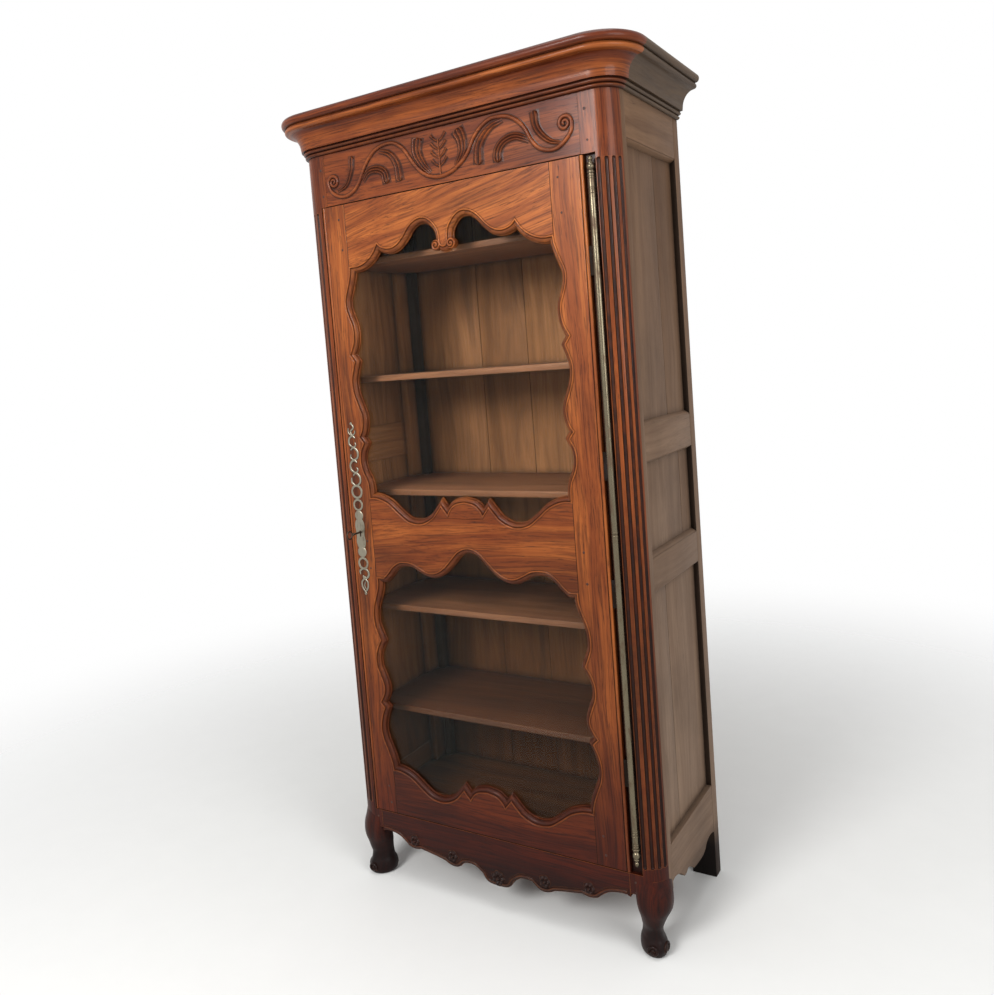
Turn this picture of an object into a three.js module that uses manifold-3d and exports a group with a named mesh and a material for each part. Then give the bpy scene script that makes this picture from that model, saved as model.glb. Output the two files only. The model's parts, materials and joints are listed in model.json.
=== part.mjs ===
// A one-door glazed bonnetiere: a tall walnut cabinet with a moulded cornice, a carved frieze,
// a door of two scalloped panes on a full-height barrel hinge, and a shaped apron on scroll feet.
// Millimetres, +Z up. X runs to the right seen from the front, the door faces -Y, and the
// origin is on the floor under the middle of the whole cabinet.
import * as THREE from "three";
import { mergeVertices } from "three/addons/utils/BufferGeometryUtils.js";
import Module from "manifold-3d";

const wasm = await Module();
wasm.setup();

// Driving dimensions of the carcass
const bodyWidth = 975;
const bodyDepth = 435;
const totalHeight = 2250;
const corniceHeight = 110;
const corniceOverhang = 68;
const cornerRadius = 58;

// Clearances
const fit = 0.3;
const mergeDistance = 0.0001;
const overrun = 5;
const runningGap = 0.4;
const doorEdgeGap = 1.8;
const doorBackGap = 1.6;

// Frame members
const frontPostDepth = 64;
const leftPostWidth = 81.5;
const rightPostWidth = 90.5;
const backPostWidth = 70.5;
const backPostDepth = 38;
const frontRailThick = 25;
const sideRailThick = 25;
const tenonThick = 9;
const frontTenonLength = 36;
const sideTenonLength = 18;
const tenonShoulder = 12;
const friezeHeight = 143;
const apronTop = 214;

// Door
const doorThick = 27;
const doorSeam = 2;
const leftLap = 15;
const rightLap = 3.5;
const lockStileWidth = 79.5;
const hingeStileWidth = 91;
const topRailWidth = 173;
const middleRailWidth = 227;
const bottomRailWidth = 129;
const upperPaneShare = 0.532;
const scallopDepth = 34;
const upperCrownRise = 102;
const upperSillDip = 72;
const lowerCrownRise = 101;
const lowerSillDip = 66;
const mouldWidth = 18;
const mouldDepth = 14;
const beadProud = 1.8;
const glassThick = 3;
const rebateDepth = 17.3;
const glassLap = 9;
const voluteRadius = 14;
const voluteSpread = 24;
const voluteDrop = 82;
const outlineStep = 22;

// Hinge
const hingeSetOff = 20.5;
const hingeProud = 2.5;
const barrelRadius = 8;
const rodRadius = 4;
const recessMargin = 13;
const recessDepth = 14;
const wingThick = 3;
const wingHeight = 70;
const wingBite = 14;
const collarProud = 1.5;
const collarHeight = 6;
const lowerCollarRise = 107;
const upperCollarDrop = 83;
const middleCollarShare = 0.48;
const finialMargin = 5;
const finialRise = 20;
const knuckleHeight = 36;

// Lock, key and escutcheon
const keyInset = 35;
const keyRiseShare = 0.4744;
const stemRadius = 3;
const keyholeRadius = 4.5;
const keyReach = 48;
const bowRadius = 13;
const bowHole = 8;
const bowThick = 3;
const bitLength = 12;
const bitHeight = 3;
const bitDepth = 8;
const keySlack = 0.8;
const lockInset = 21;
const lockWidth = 48;
const lockBelowKey = 24;
const lockAboveKey = 40;
const lockDepth = 20.6;
const lockWall = 2.5;
const boltHeight = 12;
const boltThick = 6;
const boltLength = 34;
const boltThrow = 14;
const boltRise = 22;
const boltSlack = 1.5;
const keeperThick = 2;
const keeperHeight = 60;
const plateThick = 1.5;
const plateWidth = 34;

// Inside
const boardThick = 18;
const floorDrop = 6;
const shelfThick = 17;
const shelfSetback = 88.5;
const shelfTopShares = [0.1568, 0.3183, 0.499, 0.6734, 0.8494];
const notchDepth = 11.5;
const battenThick = 22;
const battenDepth = 50;
const backBoardThick = 12;
const backRailThick = 22;
const backRailHeight = 82;
const panelThick = 8;
const panelRecess = 15;
const panelTongue = 7.5;
const railMould = 10;

// Side rails, with the middle ones placed as shares of the height between the outer ones
const sideBottomRailTop = 274.5;
const sideTopRailHeight = 120;
const lowerMiddleRailHeight = 104;
const upperMiddleRailHeight = 107;
const lowerMiddleShare = 0.3687;
const upperMiddleShare = 0.556;

// Flutes on the rounded posts
const fluteRadius = 4.5;
const fluteFoot = 18;
const fluteHead = 13;
const fluteAngles = [28, 47, 66];
const grooveWide = 1.6;
const grooveDeep = 2.5;
const postBead = 6;

// Derived planes of the carcass
const halfWidth = bodyWidth / 2;
const frontY = (corniceOverhang - bodyDepth) / 2;
const backY = frontY + bodyDepth;
const corniceBottom = totalHeight - corniceHeight;
const friezeBottom = corniceBottom - friezeHeight;
const leftPostInner = -halfWidth + leftPostWidth;
const rightPostInner = halfWidth - rightPostWidth;
const sideInner = halfWidth - sideRailThick;
const sideFront = frontY + frontPostDepth;
const sideBack = backY - backPostDepth;
const backPostInner = halfWidth - backPostWidth;
const backBoardFace = backY - backBoardThick;
const floorTop = apronTop - floorDrop;
const fluteBottom = apronTop + fluteFoot;
const fluteTop = friezeBottom - fluteHead;
const sideTopRailBottom = corniceBottom - sideTopRailHeight;
const sideOpenHeight = sideTopRailBottom - sideBottomRailTop;
const lowerMiddleRail = sideBottomRailTop + lowerMiddleShare * sideOpenHeight;
const upperMiddleRail = sideBottomRailTop + upperMiddleShare * sideOpenHeight;
const shelfTops = shelfTopShares.map((share) => floorTop + share * (corniceBottom - floorTop));
const shelfEnd = sideInner - battenThick + notchDepth;

// Derived places on the door
const doorBack = frontY + doorThick;
const doorLeft = leftPostInner - leftLap;
const doorRight = rightPostInner + rightLap;
const doorBottom = apronTop + doorSeam;
const doorTop = friezeBottom - doorSeam;
const openingCentre = (doorLeft + lockStileWidth + doorRight - hingeStileWidth) / 2;
const openingHalf = (doorRight - hingeStileWidth - doorLeft - lockStileWidth) / 2;
const paneHeights = doorTop - doorBottom - topRailWidth - middleRailWidth - bottomRailWidth;
const lowerSill = doorBottom + bottomRailWidth;
const lowerHead = lowerSill + (1 - upperPaneShare) * paneHeights;
const upperSill = lowerHead + middleRailWidth;
const upperHead = doorTop - topRailWidth;

// Derived places of the ironwork
const hingeX = doorRight + hingeSetOff;
const recessRight = hingeX + recessMargin;
const lowerCollar = doorBottom + lowerCollarRise;
const upperCollar = doorTop - upperCollarDrop;
const middleCollar = lowerCollar + middleCollarShare * (upperCollar - lowerCollar);
const finialTop = doorTop - finialMargin;
const finialBottom = doorBottom + finialRise;
const keyX = doorLeft + keyInset;
const keyZ = doorBottom + keyRiseShare * (doorTop - doorBottom);
const lockLeft = doorLeft + lockInset;
const lockRight = lockLeft + lockWidth;
const lockBottom = keyZ - lockBelowKey;
const lockTop = keyZ + lockAboveKey;

// Colours of the finishes
const frontWood = { color: 0x8a4a28, roughness: 0.42, metalness: 0 };
const sideWood = { color: 0x74614f, roughness: 0.6, metalness: 0 };
const innerWood = { color: 0x6e4f3a, roughness: 0.7, metalness: 0 };
const steel = { color: 0x9a9488, roughness: 0.38, metalness: 1 };
const paleSteel = { color: 0xb9b3a6, roughness: 0.42, metalness: 1 };
const darkIron = { color: 0x3d3630, roughness: 0.5, metalness: 1 };
const pane = { color: 0xcfdedb, roughness: 0.05, metalness: 0, transparent: true, opacity: 0.3 };

// Turns a closed geometry into a solid
function solid(geometry) {
  const flat = geometry.index ? geometry : geometry.clone();
  flat.deleteAttribute("normal");
  flat.deleteAttribute("uv");
  flat.clearGroups();
  const joined = mergeVertices(flat, mergeDistance);
  const triangles = [];
  for (let i = 0; i < joined.index.count; i += 3) {
    const [a, b, c] = joined.index.array.slice(i, i + 3);
    if (a !== b && b !== c && c !== a) {
      triangles.push(a, b, c);
    }
  }
  const mesh = new wasm.Mesh({
    numProp: 3,
    vertProperties: new Float32Array(joined.attributes.position.array),
    triVerts: new Uint32Array(triangles),
  });
  return new wasm.Manifold(mesh);
}

// Turns a solid back into a geometry
function geometryOf(body) {
  const mesh = body.getMesh();
  const geometry = new THREE.BufferGeometry();
  geometry.setAttribute("position", new THREE.BufferAttribute(new Float32Array(mesh.vertProperties), 3));
  geometry.setIndex(new THREE.BufferAttribute(new Uint32Array(mesh.triVerts), 1));
  geometry.computeVertexNormals();
  return geometry;
}

function box(x0, x1, y0, y1, z0, z1) {
  const geometry = new THREE.BoxGeometry(x1 - x0, y1 - y0, z1 - z0);
  geometry.translate((x0 + x1) / 2, (y0 + y1) / 2, (z0 + z1) / 2);
  return solid(geometry);
}

function shapeOf(points, holes) {
  const shape = new THREE.Shape(points.map((p) => new THREE.Vector2(p[0], p[1])));
  for (const hole of holes) {
    shape.holes.push(new THREE.Path(hole.map((p) => new THREE.Vector2(p[0], p[1]))));
  }
  return shape;
}

// Prisms of an outline, along Z, along Y (outline in X, Z) and along X (outline in Y, Z)
function prismZ(points, z0, z1) {
  const geometry = new THREE.ExtrudeGeometry(shapeOf(points, []), { depth: z1 - z0, bevelEnabled: false });
  geometry.translate(0, 0, z0);
  return solid(geometry);
}

function prismY(points, y0, y1, holes = []) {
  const geometry = new THREE.ExtrudeGeometry(
    shapeOf(points, holes), { depth: y1 - y0, bevelEnabled: false },
  );
  geometry.rotateX(Math.PI / 2);
  geometry.translate(0, y1, 0);
  return solid(geometry);
}

function prismX(points, x0, x1) {
  const geometry = new THREE.ExtrudeGeometry(shapeOf(points, []), { depth: x1 - x0, bevelEnabled: false });
  const turn = new THREE.Matrix4().makeBasis(
    new THREE.Vector3(0, 1, 0),
    new THREE.Vector3(0, 0, 1),
    new THREE.Vector3(1, 0, 0),
  );
  geometry.applyMatrix4(turn);
  geometry.translate(x0, 0, 0);
  return solid(geometry);
}

function cylinderY(x, z, radius, y0, y1, sides) {
  const geometry = new THREE.CylinderGeometry(radius, radius, y1 - y0, sides);
  geometry.translate(x, (y0 + y1) / 2, z);
  return solid(geometry);
}

// A turned solid about a vertical axis, from a list of radius and height
function turned(x, y, profile, sides) {
  const geometry = new THREE.LatheGeometry(profile.map((p) => new THREE.Vector2(p[0], p[1])), sides);
  geometry.rotateX(Math.PI / 2);
  geometry.translate(x, y, 0);
  return solid(geometry);
}

// Skin through rings of equally many points; caps follow the first ring's flat outline
function loft(rings, capOutline) {
  const count = rings[0].length;
  const positions = rings.flat(2);
  const index = [];
  const last = capOutline ? rings.length - 1 : rings.length;
  for (let i = 0; i < last; i += 1) {
    const here = i * count;
    const next = ((i + 1) % rings.length) * count;
    for (let k = 0; k < count; k += 1) {
      const side = (k + 1) % count;
      index.push(here + k, here + side, next + side);
      index.push(here + k, next + side, next + k);
    }
  }
  if (capOutline) {
    const flat = capOutline.map((p) => new THREE.Vector2(p[0], p[1]));
    const clockwise = THREE.ShapeUtils.isClockWise(flat);
    const end = last * count;
    for (const [a, b, c] of THREE.ShapeUtils.triangulateShape(flat, [])) {
      const [first, third] = clockwise ? [a, c] : [c, a];
      index.push(first, b, third);
      index.push(end + third, end + b, end + first);
    }
  }
  const geometry = new THREE.BufferGeometry();
  geometry.setAttribute("position", new THREE.Float32BufferAttribute(positions, 3));
  geometry.setIndex(index);
  if (enclosedVolume(geometry) < 0) {
    for (let i = 0; i < index.length; i += 3) {
      [index[i], index[i + 1]] = [index[i + 1], index[i]];
    }
    geometry.setIndex(index);
  }
  return solid(geometry);
}

function enclosedVolume(geometry) {
  const corner = [new THREE.Vector3(), new THREE.Vector3(), new THREE.Vector3()];
  const index = geometry.index.array;
  let total = 0;
  for (let i = 0; i < index.length; i += 3) {
    for (let k = 0; k < 3; k += 1) {
      corner[k].fromBufferAttribute(geometry.attributes.position, index[i + k]);
    }
    total += corner[0].dot(corner[1].clone().cross(corner[2])) / 6;
  }
  return total;
}

function union(bodies) {
  return bodies.reduce((whole, body) => whole.add(body));
}

const cabinet = new THREE.Group();

function addPiece(name, body, finish) {
  const mesh = new THREE.Mesh(geometryOf(body), new THREE.MeshStandardMaterial(finish));
  mesh.name = name;
  cabinet.add(mesh);
}

// Point lists of an arc
function arc(cx, cy, radius, fromDegrees, toDegrees, steps) {
  const points = [];
  for (let i = 0; i <= steps; i += 1) {
    const angle = THREE.MathUtils.degToRad(fromDegrees + ((toDegrees - fromDegrees) * i) / steps);
    points.push([cx + radius * Math.cos(angle), cy + radius * Math.sin(angle)]);
  }
  return points;
}

// A smooth run through points, split where a point is marked as a cusp by a third entry
function smooth(points, step) {
  const runs = [[points[0]]];
  for (const point of points.slice(1)) {
    runs[runs.length - 1].push(point);
    if (point[2]) {
      runs.push([point]);
    }
  }
  const out = [];
  for (const run of runs.filter((r) => r.length > 1)) {
    const curve = new THREE.CatmullRomCurve3(
      run.map((p) => new THREE.Vector3(p[0], p[1], 0)),
      false,
      "centripetal",
    );
    const parts = Math.max(1, Math.round(curve.getLength() / step));
    const even = curve.getSpacedPoints(parts);
    for (const p of even.slice(0, parts)) {
      out.push([p.x, p.y]);
    }
  }
  const end = points[points.length - 1];
  out.push([end[0], end[1]]);
  return out;
}

// Outline of the glazed openings, as shares of the half width and of the heights they follow
const sillShares = [
  [0, -0.1], [0.09, -0.19], [0.138, -0.37], [0.172, -0.64, 1], [0.236, -0.27, 1], [0.283, -0.52],
  [0.325, -0.72], [0.42, -0.95], [0.5, -1], [0.6, -0.9], [0.7, -0.58], [0.795, -0.23], [0.87, -0.07],
  [0.93, 0], [1, 0, 1],
];
const upperSideShares = [
  [0, 0, 1], [0.1, 0.07], [0.53, 0.122], [0.71, 0.167], [0.57, 0.211], [0.22, 0.244, 1], [0.63, 0.271, 1],
  [0.3, 0.298], [0.13, 0.331], [0.13, 0.364], [0.49, 0.414], [0.81, 0.465], [0.88, 0.516], [0.66, 0.559],
  [0.4, 0.595, 1], [0.85, 0.626, 1], [0.4, 0.671], [0.24, 0.714], [0.31, 0.749], [0.6, 0.789],
  [0.81, 0.829], [0.79, 0.866], [0.4, 0.919], [0.07, 0.971], [0, 1, 1],
];
const lowerSideShares = [
  [0, 0, 1], [0.19, 0.058], [0.51, 0.108], [0.9, 0.168], [1, 0.224], [0.78, 0.284], [0.46, 0.326, 1],
  [0.88, 0.351, 1], [0.57, 0.378], [0.3, 0.41], [0.26, 0.436], [0.49, 0.477], [0.84, 0.53], [0.9, 0.586],
  [0.66, 0.634], [0.25, 0.675, 1], [0.57, 0.72], [0.75, 0.752], [0.79, 0.798], [0.63, 0.856],
  [0.25, 0.911], [0, 0.959], [0, 1, 1],
];
const upperCrownShares = [
  [1, 0, 1], [0.906, 0], [0.82, 0.09], [0.74, 0.28], [0.68, 0.55, 1], [0.63, 0.41], [0.55, 0.35],
  [0.479, 0.41], [0.409, 0.59], [0.347, 0.81], [0.28, 0.95], [0.203, 1], [0.138, 0.94], [0.083, 0.79],
  [0.045, 0.61], [0.03, 0.42], [0.03, 0.27], [0.018, 0.19], [0, 0.17, 1],
];
const lowerCrownShares = [
  [1, 0, 1], [0.922, 0, 1], [0.876, 0.13], [0.82, 0.32], [0.743, 0.475], [0.664, 0.505], [0.584, 0.47],
  [0.507, 0.35], [0.421, 0.24], [0.35, 0.26], [0.27, 0.4], [0.19, 0.64], [0.114, 0.87], [0.043, 0.98],
  [0, 1, 1],
];

// The closed outline of an opening, counterclockwise seen in X and Z, and where its corners are
function openingOutline(sill, head, dip, rise, sideShares, crownShares) {
  const height = head - sill;
  const sillRun = smooth(sillShares.map((s) => [s[0] * openingHalf, sill + s[1] * dip, s[2]]), outlineStep);
  const sideRun = smooth(
    sideShares.map((s) => [openingHalf + s[0] * scallopDepth, sill + s[1] * height, s[2]]),
    outlineStep,
  );
  const crownRun = smooth(
    crownShares.map((s) => [s[0] * openingHalf, head + s[1] * rise, s[2]]), outlineStep,
  );
  const half = [...sillRun.slice(0, -1), ...sideRun.slice(0, -1), ...crownRun];
  const mirrored = half.slice(1, -1).reverse().map((p) => [-p[0], p[1]]);
  return [...half, ...mirrored].map((p) => [openingCentre + p[0], p[1]]);
}

const upperOutline = openingOutline(
  upperSill, upperHead, upperSillDip, upperCrownRise, upperSideShares, upperCrownShares,
);
const lowerOutline = openingOutline(
  lowerSill, lowerHead, lowerSillDip, lowerCrownRise, lowerSideShares, lowerCrownShares,
);

// Mitred inward offsets of a counterclockwise outline, one unit vector scaled by the mitre
function mitres(outline) {
  const longest = 1.9;
  return outline.map((point, i) => {
    const before = outline[(i + outline.length - 1) % outline.length];
    const after = outline[(i + 1) % outline.length];
    const a = new THREE.Vector2(point[0] - before[0], point[1] - before[1]).normalize();
    const b = new THREE.Vector2(after[0] - point[0], after[1] - point[1]).normalize();
    const na = new THREE.Vector2(-a.y, a.x);
    const nb = new THREE.Vector2(-b.y, b.x);
    const sum = na.clone().add(nb);
    const mitre = sum.multiplyScalar(1 / Math.max(1 + na.dot(nb), 1e-3));
    return mitre.length() > longest ? mitre.setLength(longest) : mitre;
  });
}

// The sticking round an opening: a bead, a quirk and an ovolo, as shares of its width and depth
const mouldShares = [
  [-0.08, 0.3], [0.04, -0.13], [0.24, -0.13], [0.34, 0.12], [0.62, 0.3], [1, 1],
];

function mouldRing(outline) {
  const push = mitres(outline);
  return loft(
    outline.map((point, i) => {
      const place = (offset, depth) => [
        point[0] + push[i].x * offset,
        frontY + depth,
        point[1] + push[i].y * offset,
      ];
      const face = mouldShares.map((s) => place(s[0] * mouldWidth, s[1] * mouldDepth));
      const inner = mouldShares[mouldShares.length - 1][0] * mouldWidth;
      const outer = mouldShares[0][0] * mouldWidth;
      return [...face, place(inner, doorThick), place(outer, doorThick)];
    }),
    null,
  );
}

// The whole door's woodwork before it is parted into stiles and rails
function doorWoodwork() {
  const field = prismY(
    [[doorLeft, doorBottom], [doorRight, doorBottom], [doorRight, doorTop], [doorLeft, doorTop]],
    frontY, doorBack, [upperOutline, lowerOutline],
  );
  const volutes = [-1, 1].map((side) => cylinderY(
    openingCentre + side * voluteSpread,
    upperHead + upperCrownRise - voluteDrop,
    voluteRadius, frontY - beadProud, doorBack, 18,
  ));
  const grooveX = doorRight - mouldWidth / 2;
  const edgeGroove = box(
    grooveX - grooveWide, grooveX, frontY - overrun, frontY + grooveDeep, doorBottom - overrun,
    doorTop + overrun,
  );
  return union([field, mouldRing(upperOutline), mouldRing(lowerOutline), ...volutes]).subtract(edgeGroove);
}

// Each opening's rectangular rebate for its pane, cut from behind
function rebateOf(sill, head, dip, rise) {
  const reach = openingHalf + scallopDepth - mouldWidth + glassLap;
  return {
    x0: openingCentre - reach,
    x1: openingCentre + reach,
    z0: sill - dip + mouldWidth - glassLap,
    z1: head + rise - mouldWidth + glassLap,
  };
}
const upperRebate = rebateOf(upperSill, upperHead, upperSillDip, upperCrownRise);
const lowerRebate = rebateOf(lowerSill, lowerHead, lowerSillDip, lowerCrownRise);

// The lines on which stiles and rails part, mitred through the sticking at each opening's corner
const stileJoint = openingHalf;
const midReach = 60;
function cornerCut(side, corner, towards, gap) {
  const sightX = openingCentre + side * (openingHalf - mouldWidth);
  const sightZ = corner + towards * mouldWidth;
  return [
    [openingCentre + side * stileJoint, corner + towards * gap],
    [sightX, sightZ + towards * gap],
    [openingCentre, sightZ + towards * (midReach + gap)],
  ];
}

function stileZone(side) {
  const outer = side < 0 ? doorLeft - overrun : doorRight + overrun;
  const jointX = openingCentre + side * stileJoint;
  const gap = fit * Math.SQRT2;
  return [
    [outer, doorBottom - overrun],
    [jointX, doorBottom - overrun],
    ...cornerCut(side, lowerSill, 1, gap),
    ...cornerCut(side, lowerHead, -1, gap).reverse(),
    ...cornerCut(side, upperSill, 1, gap),
    ...cornerCut(side, upperHead, -1, gap).reverse(),
    [jointX, doorTop + overrun],
    [outer, doorTop + overrun],
  ];
}

function railZone(low, high) {
  const left = openingCentre - stileJoint;
  const right = openingCentre + stileJoint;
  const under = low === null ? [[left, doorBottom - overrun], [right, doorBottom - overrun]]
    : [...cornerCut(-1, low, -1, 0), ...cornerCut(1, low, -1, 0).reverse().slice(1)];
  const over = high === null ? [[right, doorTop + overrun], [left, doorTop + overrun]]
    : [...cornerCut(1, high, 1, 0), ...cornerCut(-1, high, 1, 0).reverse().slice(1)];
  return [...under, ...over];
}

function zoneBody(points) {
  return prismY(points, frontY - overrun, doorBack + overrun);
}

// Rail tenons and the stile mortises that take them
const tenonFront = frontY + (doorThick - tenonThick) / 3;
const tenonBack = tenonFront + tenonThick;
const doorTenons = [
  [upperHead + tenonShoulder, doorTop - tenonShoulder],
  [lowerHead + tenonShoulder, upperSill - tenonShoulder],
  [doorBottom + tenonShoulder, lowerSill - tenonShoulder],
];

function doorTenon(side, span, slack) {
  const joint = openingCentre + side * stileJoint;
  const tip = joint + side * (frontTenonLength + slack);
  const root = joint - side * overrun;
  return box(
    Math.min(root, tip), Math.max(root, tip), tenonFront - slack, tenonBack + slack, span[0] - slack,
    span[1] + slack,
  );
}

function hingeWingSpans() {
  const spans = [];
  for (const [low, high] of [[lowerCollar, middleCollar], [middleCollar, upperCollar]]) {
    for (const share of [0.2, 0.8]) {
      const middle = low + (high - low) * share;
      spans.push([middle - wingHeight / 2, middle + wingHeight / 2]);
    }
  }
  return spans;
}

// A round hole with a slot below it for the key's bit, right through the plate and the stile
function keyhole() {
  const slot = bitHeight / 2 + keySlack;
  const bore = cylinderY(keyX, keyZ, keyholeRadius, frontY - overrun, doorBack + overrun, 20);
  return bore.add(box(
    keyX - slot, keyX + slot, frontY - overrun, doorBack + overrun, keyZ - bitLength - keySlack, keyZ,
  ));
}

const hingeY = frontY - hingeProud;
const wingBack = hingeY + barrelRadius;
const wingFront = wingBack - wingThick;

function buildDoor() {
  const wood = doorWoodwork();
  const rebates = [upperRebate, lowerRebate].map((r) => box(
    r.x0, r.x1, frontY + rebateDepth, doorBack + overrun, r.z0, r.z1,
  ));
  const rebated = rebates.reduce((body, cut) => body.subtract(cut), wood);
  const rails = [
    ["door_top_rail", railZone(upperHead, null), doorTenons[0]],
    ["door_middle_rail", railZone(lowerHead, upperSill), doorTenons[1]],
    ["door_bottom_rail", railZone(null, lowerSill), doorTenons[2]],
  ];
  for (const [name, zone, span] of rails) {
    const body = rebated.intersect(zoneBody(zone));
    const tenons = [-1, 1].map((side) => doorTenon(side, span, 0));
    addPiece(name, union([body, ...tenons]), frontWood);
  }
  for (const side of [-1, 1]) {
    let stile = rebated.intersect(zoneBody(stileZone(side)));
    for (const span of doorTenons) {
      stile = stile.subtract(doorTenon(side, span, fit));
    }
    if (side < 0) {
      stile = stile.subtract(keyhole());
    } else {
      for (const [low, high] of hingeWingSpans()) {
        stile = stile.subtract(
          box(doorRight - wingBite, doorRight + overrun, wingFront, wingBack, low, high),
        );
      }
    }
    addPiece(side < 0 ? "door_lock_stile" : "door_hinge_stile", stile, frontWood);
  }
}

// Panes lie in the rebates, held by a mitred wooden bead
function buildPanes() {
  for (const [name, r] of [["upper", upperRebate], ["lower", lowerRebate]]) {
    const paneFront = frontY + rebateDepth + fit;
    const paneBack = paneFront + glassThick;
    addPiece(`${name}_pane`, box(
      r.x0 + fit, r.x1 - fit, paneFront, paneBack, r.z0 + fit, r.z1 - fit,
    ), pane);
    const whole = box(r.x0, r.x1, paneBack, doorBack, r.z0, r.z1);
    const hole = box(
      r.x0 + glassLap, r.x1 - glassLap, paneBack - overrun, doorBack + overrun, r.z0 + glassLap,
      r.z1 - glassLap,
    );
    addPiece(`${name}_glazing_bead`, whole.subtract(hole), innerWood);
  }
}

// Rounded front post in plan, for the right side; the left one mirrors it
function postPlan(width) {
  const inner = halfWidth - width;
  const round = arc(halfWidth - cornerRadius, frontY + cornerRadius, cornerRadius, -90, 0, 9);
  return [[inner, frontY], ...round, [halfWidth, sideFront], [inner, sideFront]];
}

// Leg stations from the floor to the post: height, reach beyond the side and the front, width
// and depth as shares of the leg's size, how round the corners are, and how much the section is
// drawn out inwards along the corner's diagonal
const legHeight = 200;
const legWidth = 82;
const shaftStartShare = 0.8;
const legStationShares = [
  [0, -0.23, -0.05, 0.58, 0.57, 1, 0.3],
  [0.015, -0.18, 0, 0.68, 0.67, 1, 0.3],
  [0.05, -0.13, 0.06, 0.77, 0.77, 1, 0.3],
  [0.11, -0.1, 0.08, 0.81, 0.82, 1, 0.3],
  [0.18, -0.14, 0.04, 0.76, 0.76, 1, 0.3],
  [0.25, -0.215, -0.02, 0.64, 0.64, 1, 0.32],
  [0.325, -0.24, -0.05, 0.6, 0.6, 1, 0.32],
  [0.41, -0.18, 0, 0.68, 0.68, 0.95, 0.24],
  [0.5, -0.085, 0.04, 0.82, 0.8, 0.85, 0.12],
  [0.6, 0.037, 0.07, 1, 0.86, 0.7, 0],
  [0.7, 0.073, 0.08, 1.045, 0.85, 0.55, 0],
  [0.8, 0.06, 0.06, 1.03, 0.82, 0.45, 0],
  [0.9, 0.018, 0.018, 0.98, 0.78, 0.3, 0],
  [1, -0.018, -0.018, 0.95, 0.74, 0.2, 0],
];

function legRing(station) {
  const [rise, reachX, reachY, wide, deep, round, drawn] = station;
  const x1 = halfWidth + reachX * legWidth;
  const x0 = x1 - wide * legWidth;
  const y0 = frontY - reachY * legWidth;
  const y1 = y0 + deep * legWidth;
  const most = Math.min(x1 - x0, y1 - y0) / 2 - fit;
  const outer = most * round + Math.min(cornerRadius, 2 * most) * (1 - round);
  const small = most * round;
  const ring = [
    ...arc(x1 - outer, y0 + outer, outer, -90, 0, 7),
    ...arc(x1 - small, y1 - small, small, 0, 90, 3),
    ...arc(x0 + small, y1 - small, small, 90, 180, 3),
    ...arc(x0 + small, y0 + small, small, 180, 270, 3),
  ];
  const outermost = Math.max(...ring.map((p) => (p[0] - p[1]) / 2));
  return ring.map((p) => {
    const inward = (outermost - (p[0] - p[1]) / 2) * drawn;
    return [p[0] - inward, p[1] + inward, rise * legHeight];
  });
}

function legBody() {
  const rings = legStationShares.map(legRing);
  return loft(rings, rings[0]);
}

// A flat scroll on the outer side of the toe, placed like the leg's stations
const toeScroll = 17;
const toeScrollThick = 6;
const toePlaceShares = [-0.13, -0.35, 0.11];

function toeScrolls() {
  const [reachX, reachY, rise] = toePlaceShares;
  const disc = new THREE.CylinderGeometry(toeScroll, toeScroll, toeScrollThick, 14);
  disc.rotateZ(Math.PI / 2);
  disc.translate(halfWidth + reachX * legWidth, frontY - reachY * legWidth, rise * legHeight);
  return solid(disc);
}

function flutes() {
  const length = fluteTop - fluteBottom;
  return fluteAngles.map((degrees) => {
    const angle = THREE.MathUtils.degToRad(degrees);
    const geometry = new THREE.CapsuleGeometry(fluteRadius, length - 2 * fluteRadius, 3, 10);
    geometry.rotateX(Math.PI / 2);
    geometry.translate(
      halfWidth - cornerRadius + cornerRadius * Math.sin(angle),
      frontY + cornerRadius - cornerRadius * Math.cos(angle),
      (fluteBottom + fluteTop) / 2,
    );
    return solid(geometry);
  });
}

function mirrorX(body) {
  return body.mirror([1, 0, 0]);
}

// Shared planes of the side framing, written for the right side
const panelOuter = halfWidth - panelRecess;
const panelInner = panelOuter - panelThick;
const sideTenonFront = sideInner + (sideRailThick - tenonThick) / 2;
const sideRailSpans = [
  ["bottom", 0, sideBottomRailTop],
  ["lower_middle", lowerMiddleRail, lowerMiddleRail + lowerMiddleRailHeight],
  ["upper_middle", upperMiddleRail, upperMiddleRail + upperMiddleRailHeight],
  ["top", sideTopRailBottom, corniceBottom],
];
const sideApronRise = 180;

function sideTenonSpan(low, high) {
  const base = low === 0 ? sideApronRise : low;
  return [base + tenonShoulder, high - tenonShoulder];
}

function sideTenon(atFront, low, high, slack) {
  const [z0, z1] = sideTenonSpan(low, high);
  const reach = sideTenonLength + slack;
  const y0 = atFront ? sideFront - reach : sideBack - overrun;
  const y1 = atFront ? sideFront + overrun : sideBack + reach;
  return box(
    sideTenonFront - slack, sideTenonFront + tenonThick + slack, y0, y1, z0 - slack, z1 + slack,
  );
}

// Tenons of the frieze and the apron in the front posts
const frontTenonY = frontY + (frontRailThick - tenonThick) / 2;
const friezeTenonSpan = [friezeBottom + tenonShoulder, corniceBottom - tenonShoulder];
const apronTenonSpan = [apronTop - 5 * tenonShoulder, apronTop - tenonShoulder];

function frontTenon(side, span, slack) {
  const joint = side < 0 ? leftPostInner : rightPostInner;
  const tip = joint + side * (frontTenonLength + slack);
  const root = joint - side * overrun;
  return box(
    Math.min(root, tip), Math.max(root, tip), frontTenonY - slack, frontTenonY + tenonThick + slack,
    span[0] - slack, span[1] + slack,
  );
}

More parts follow.
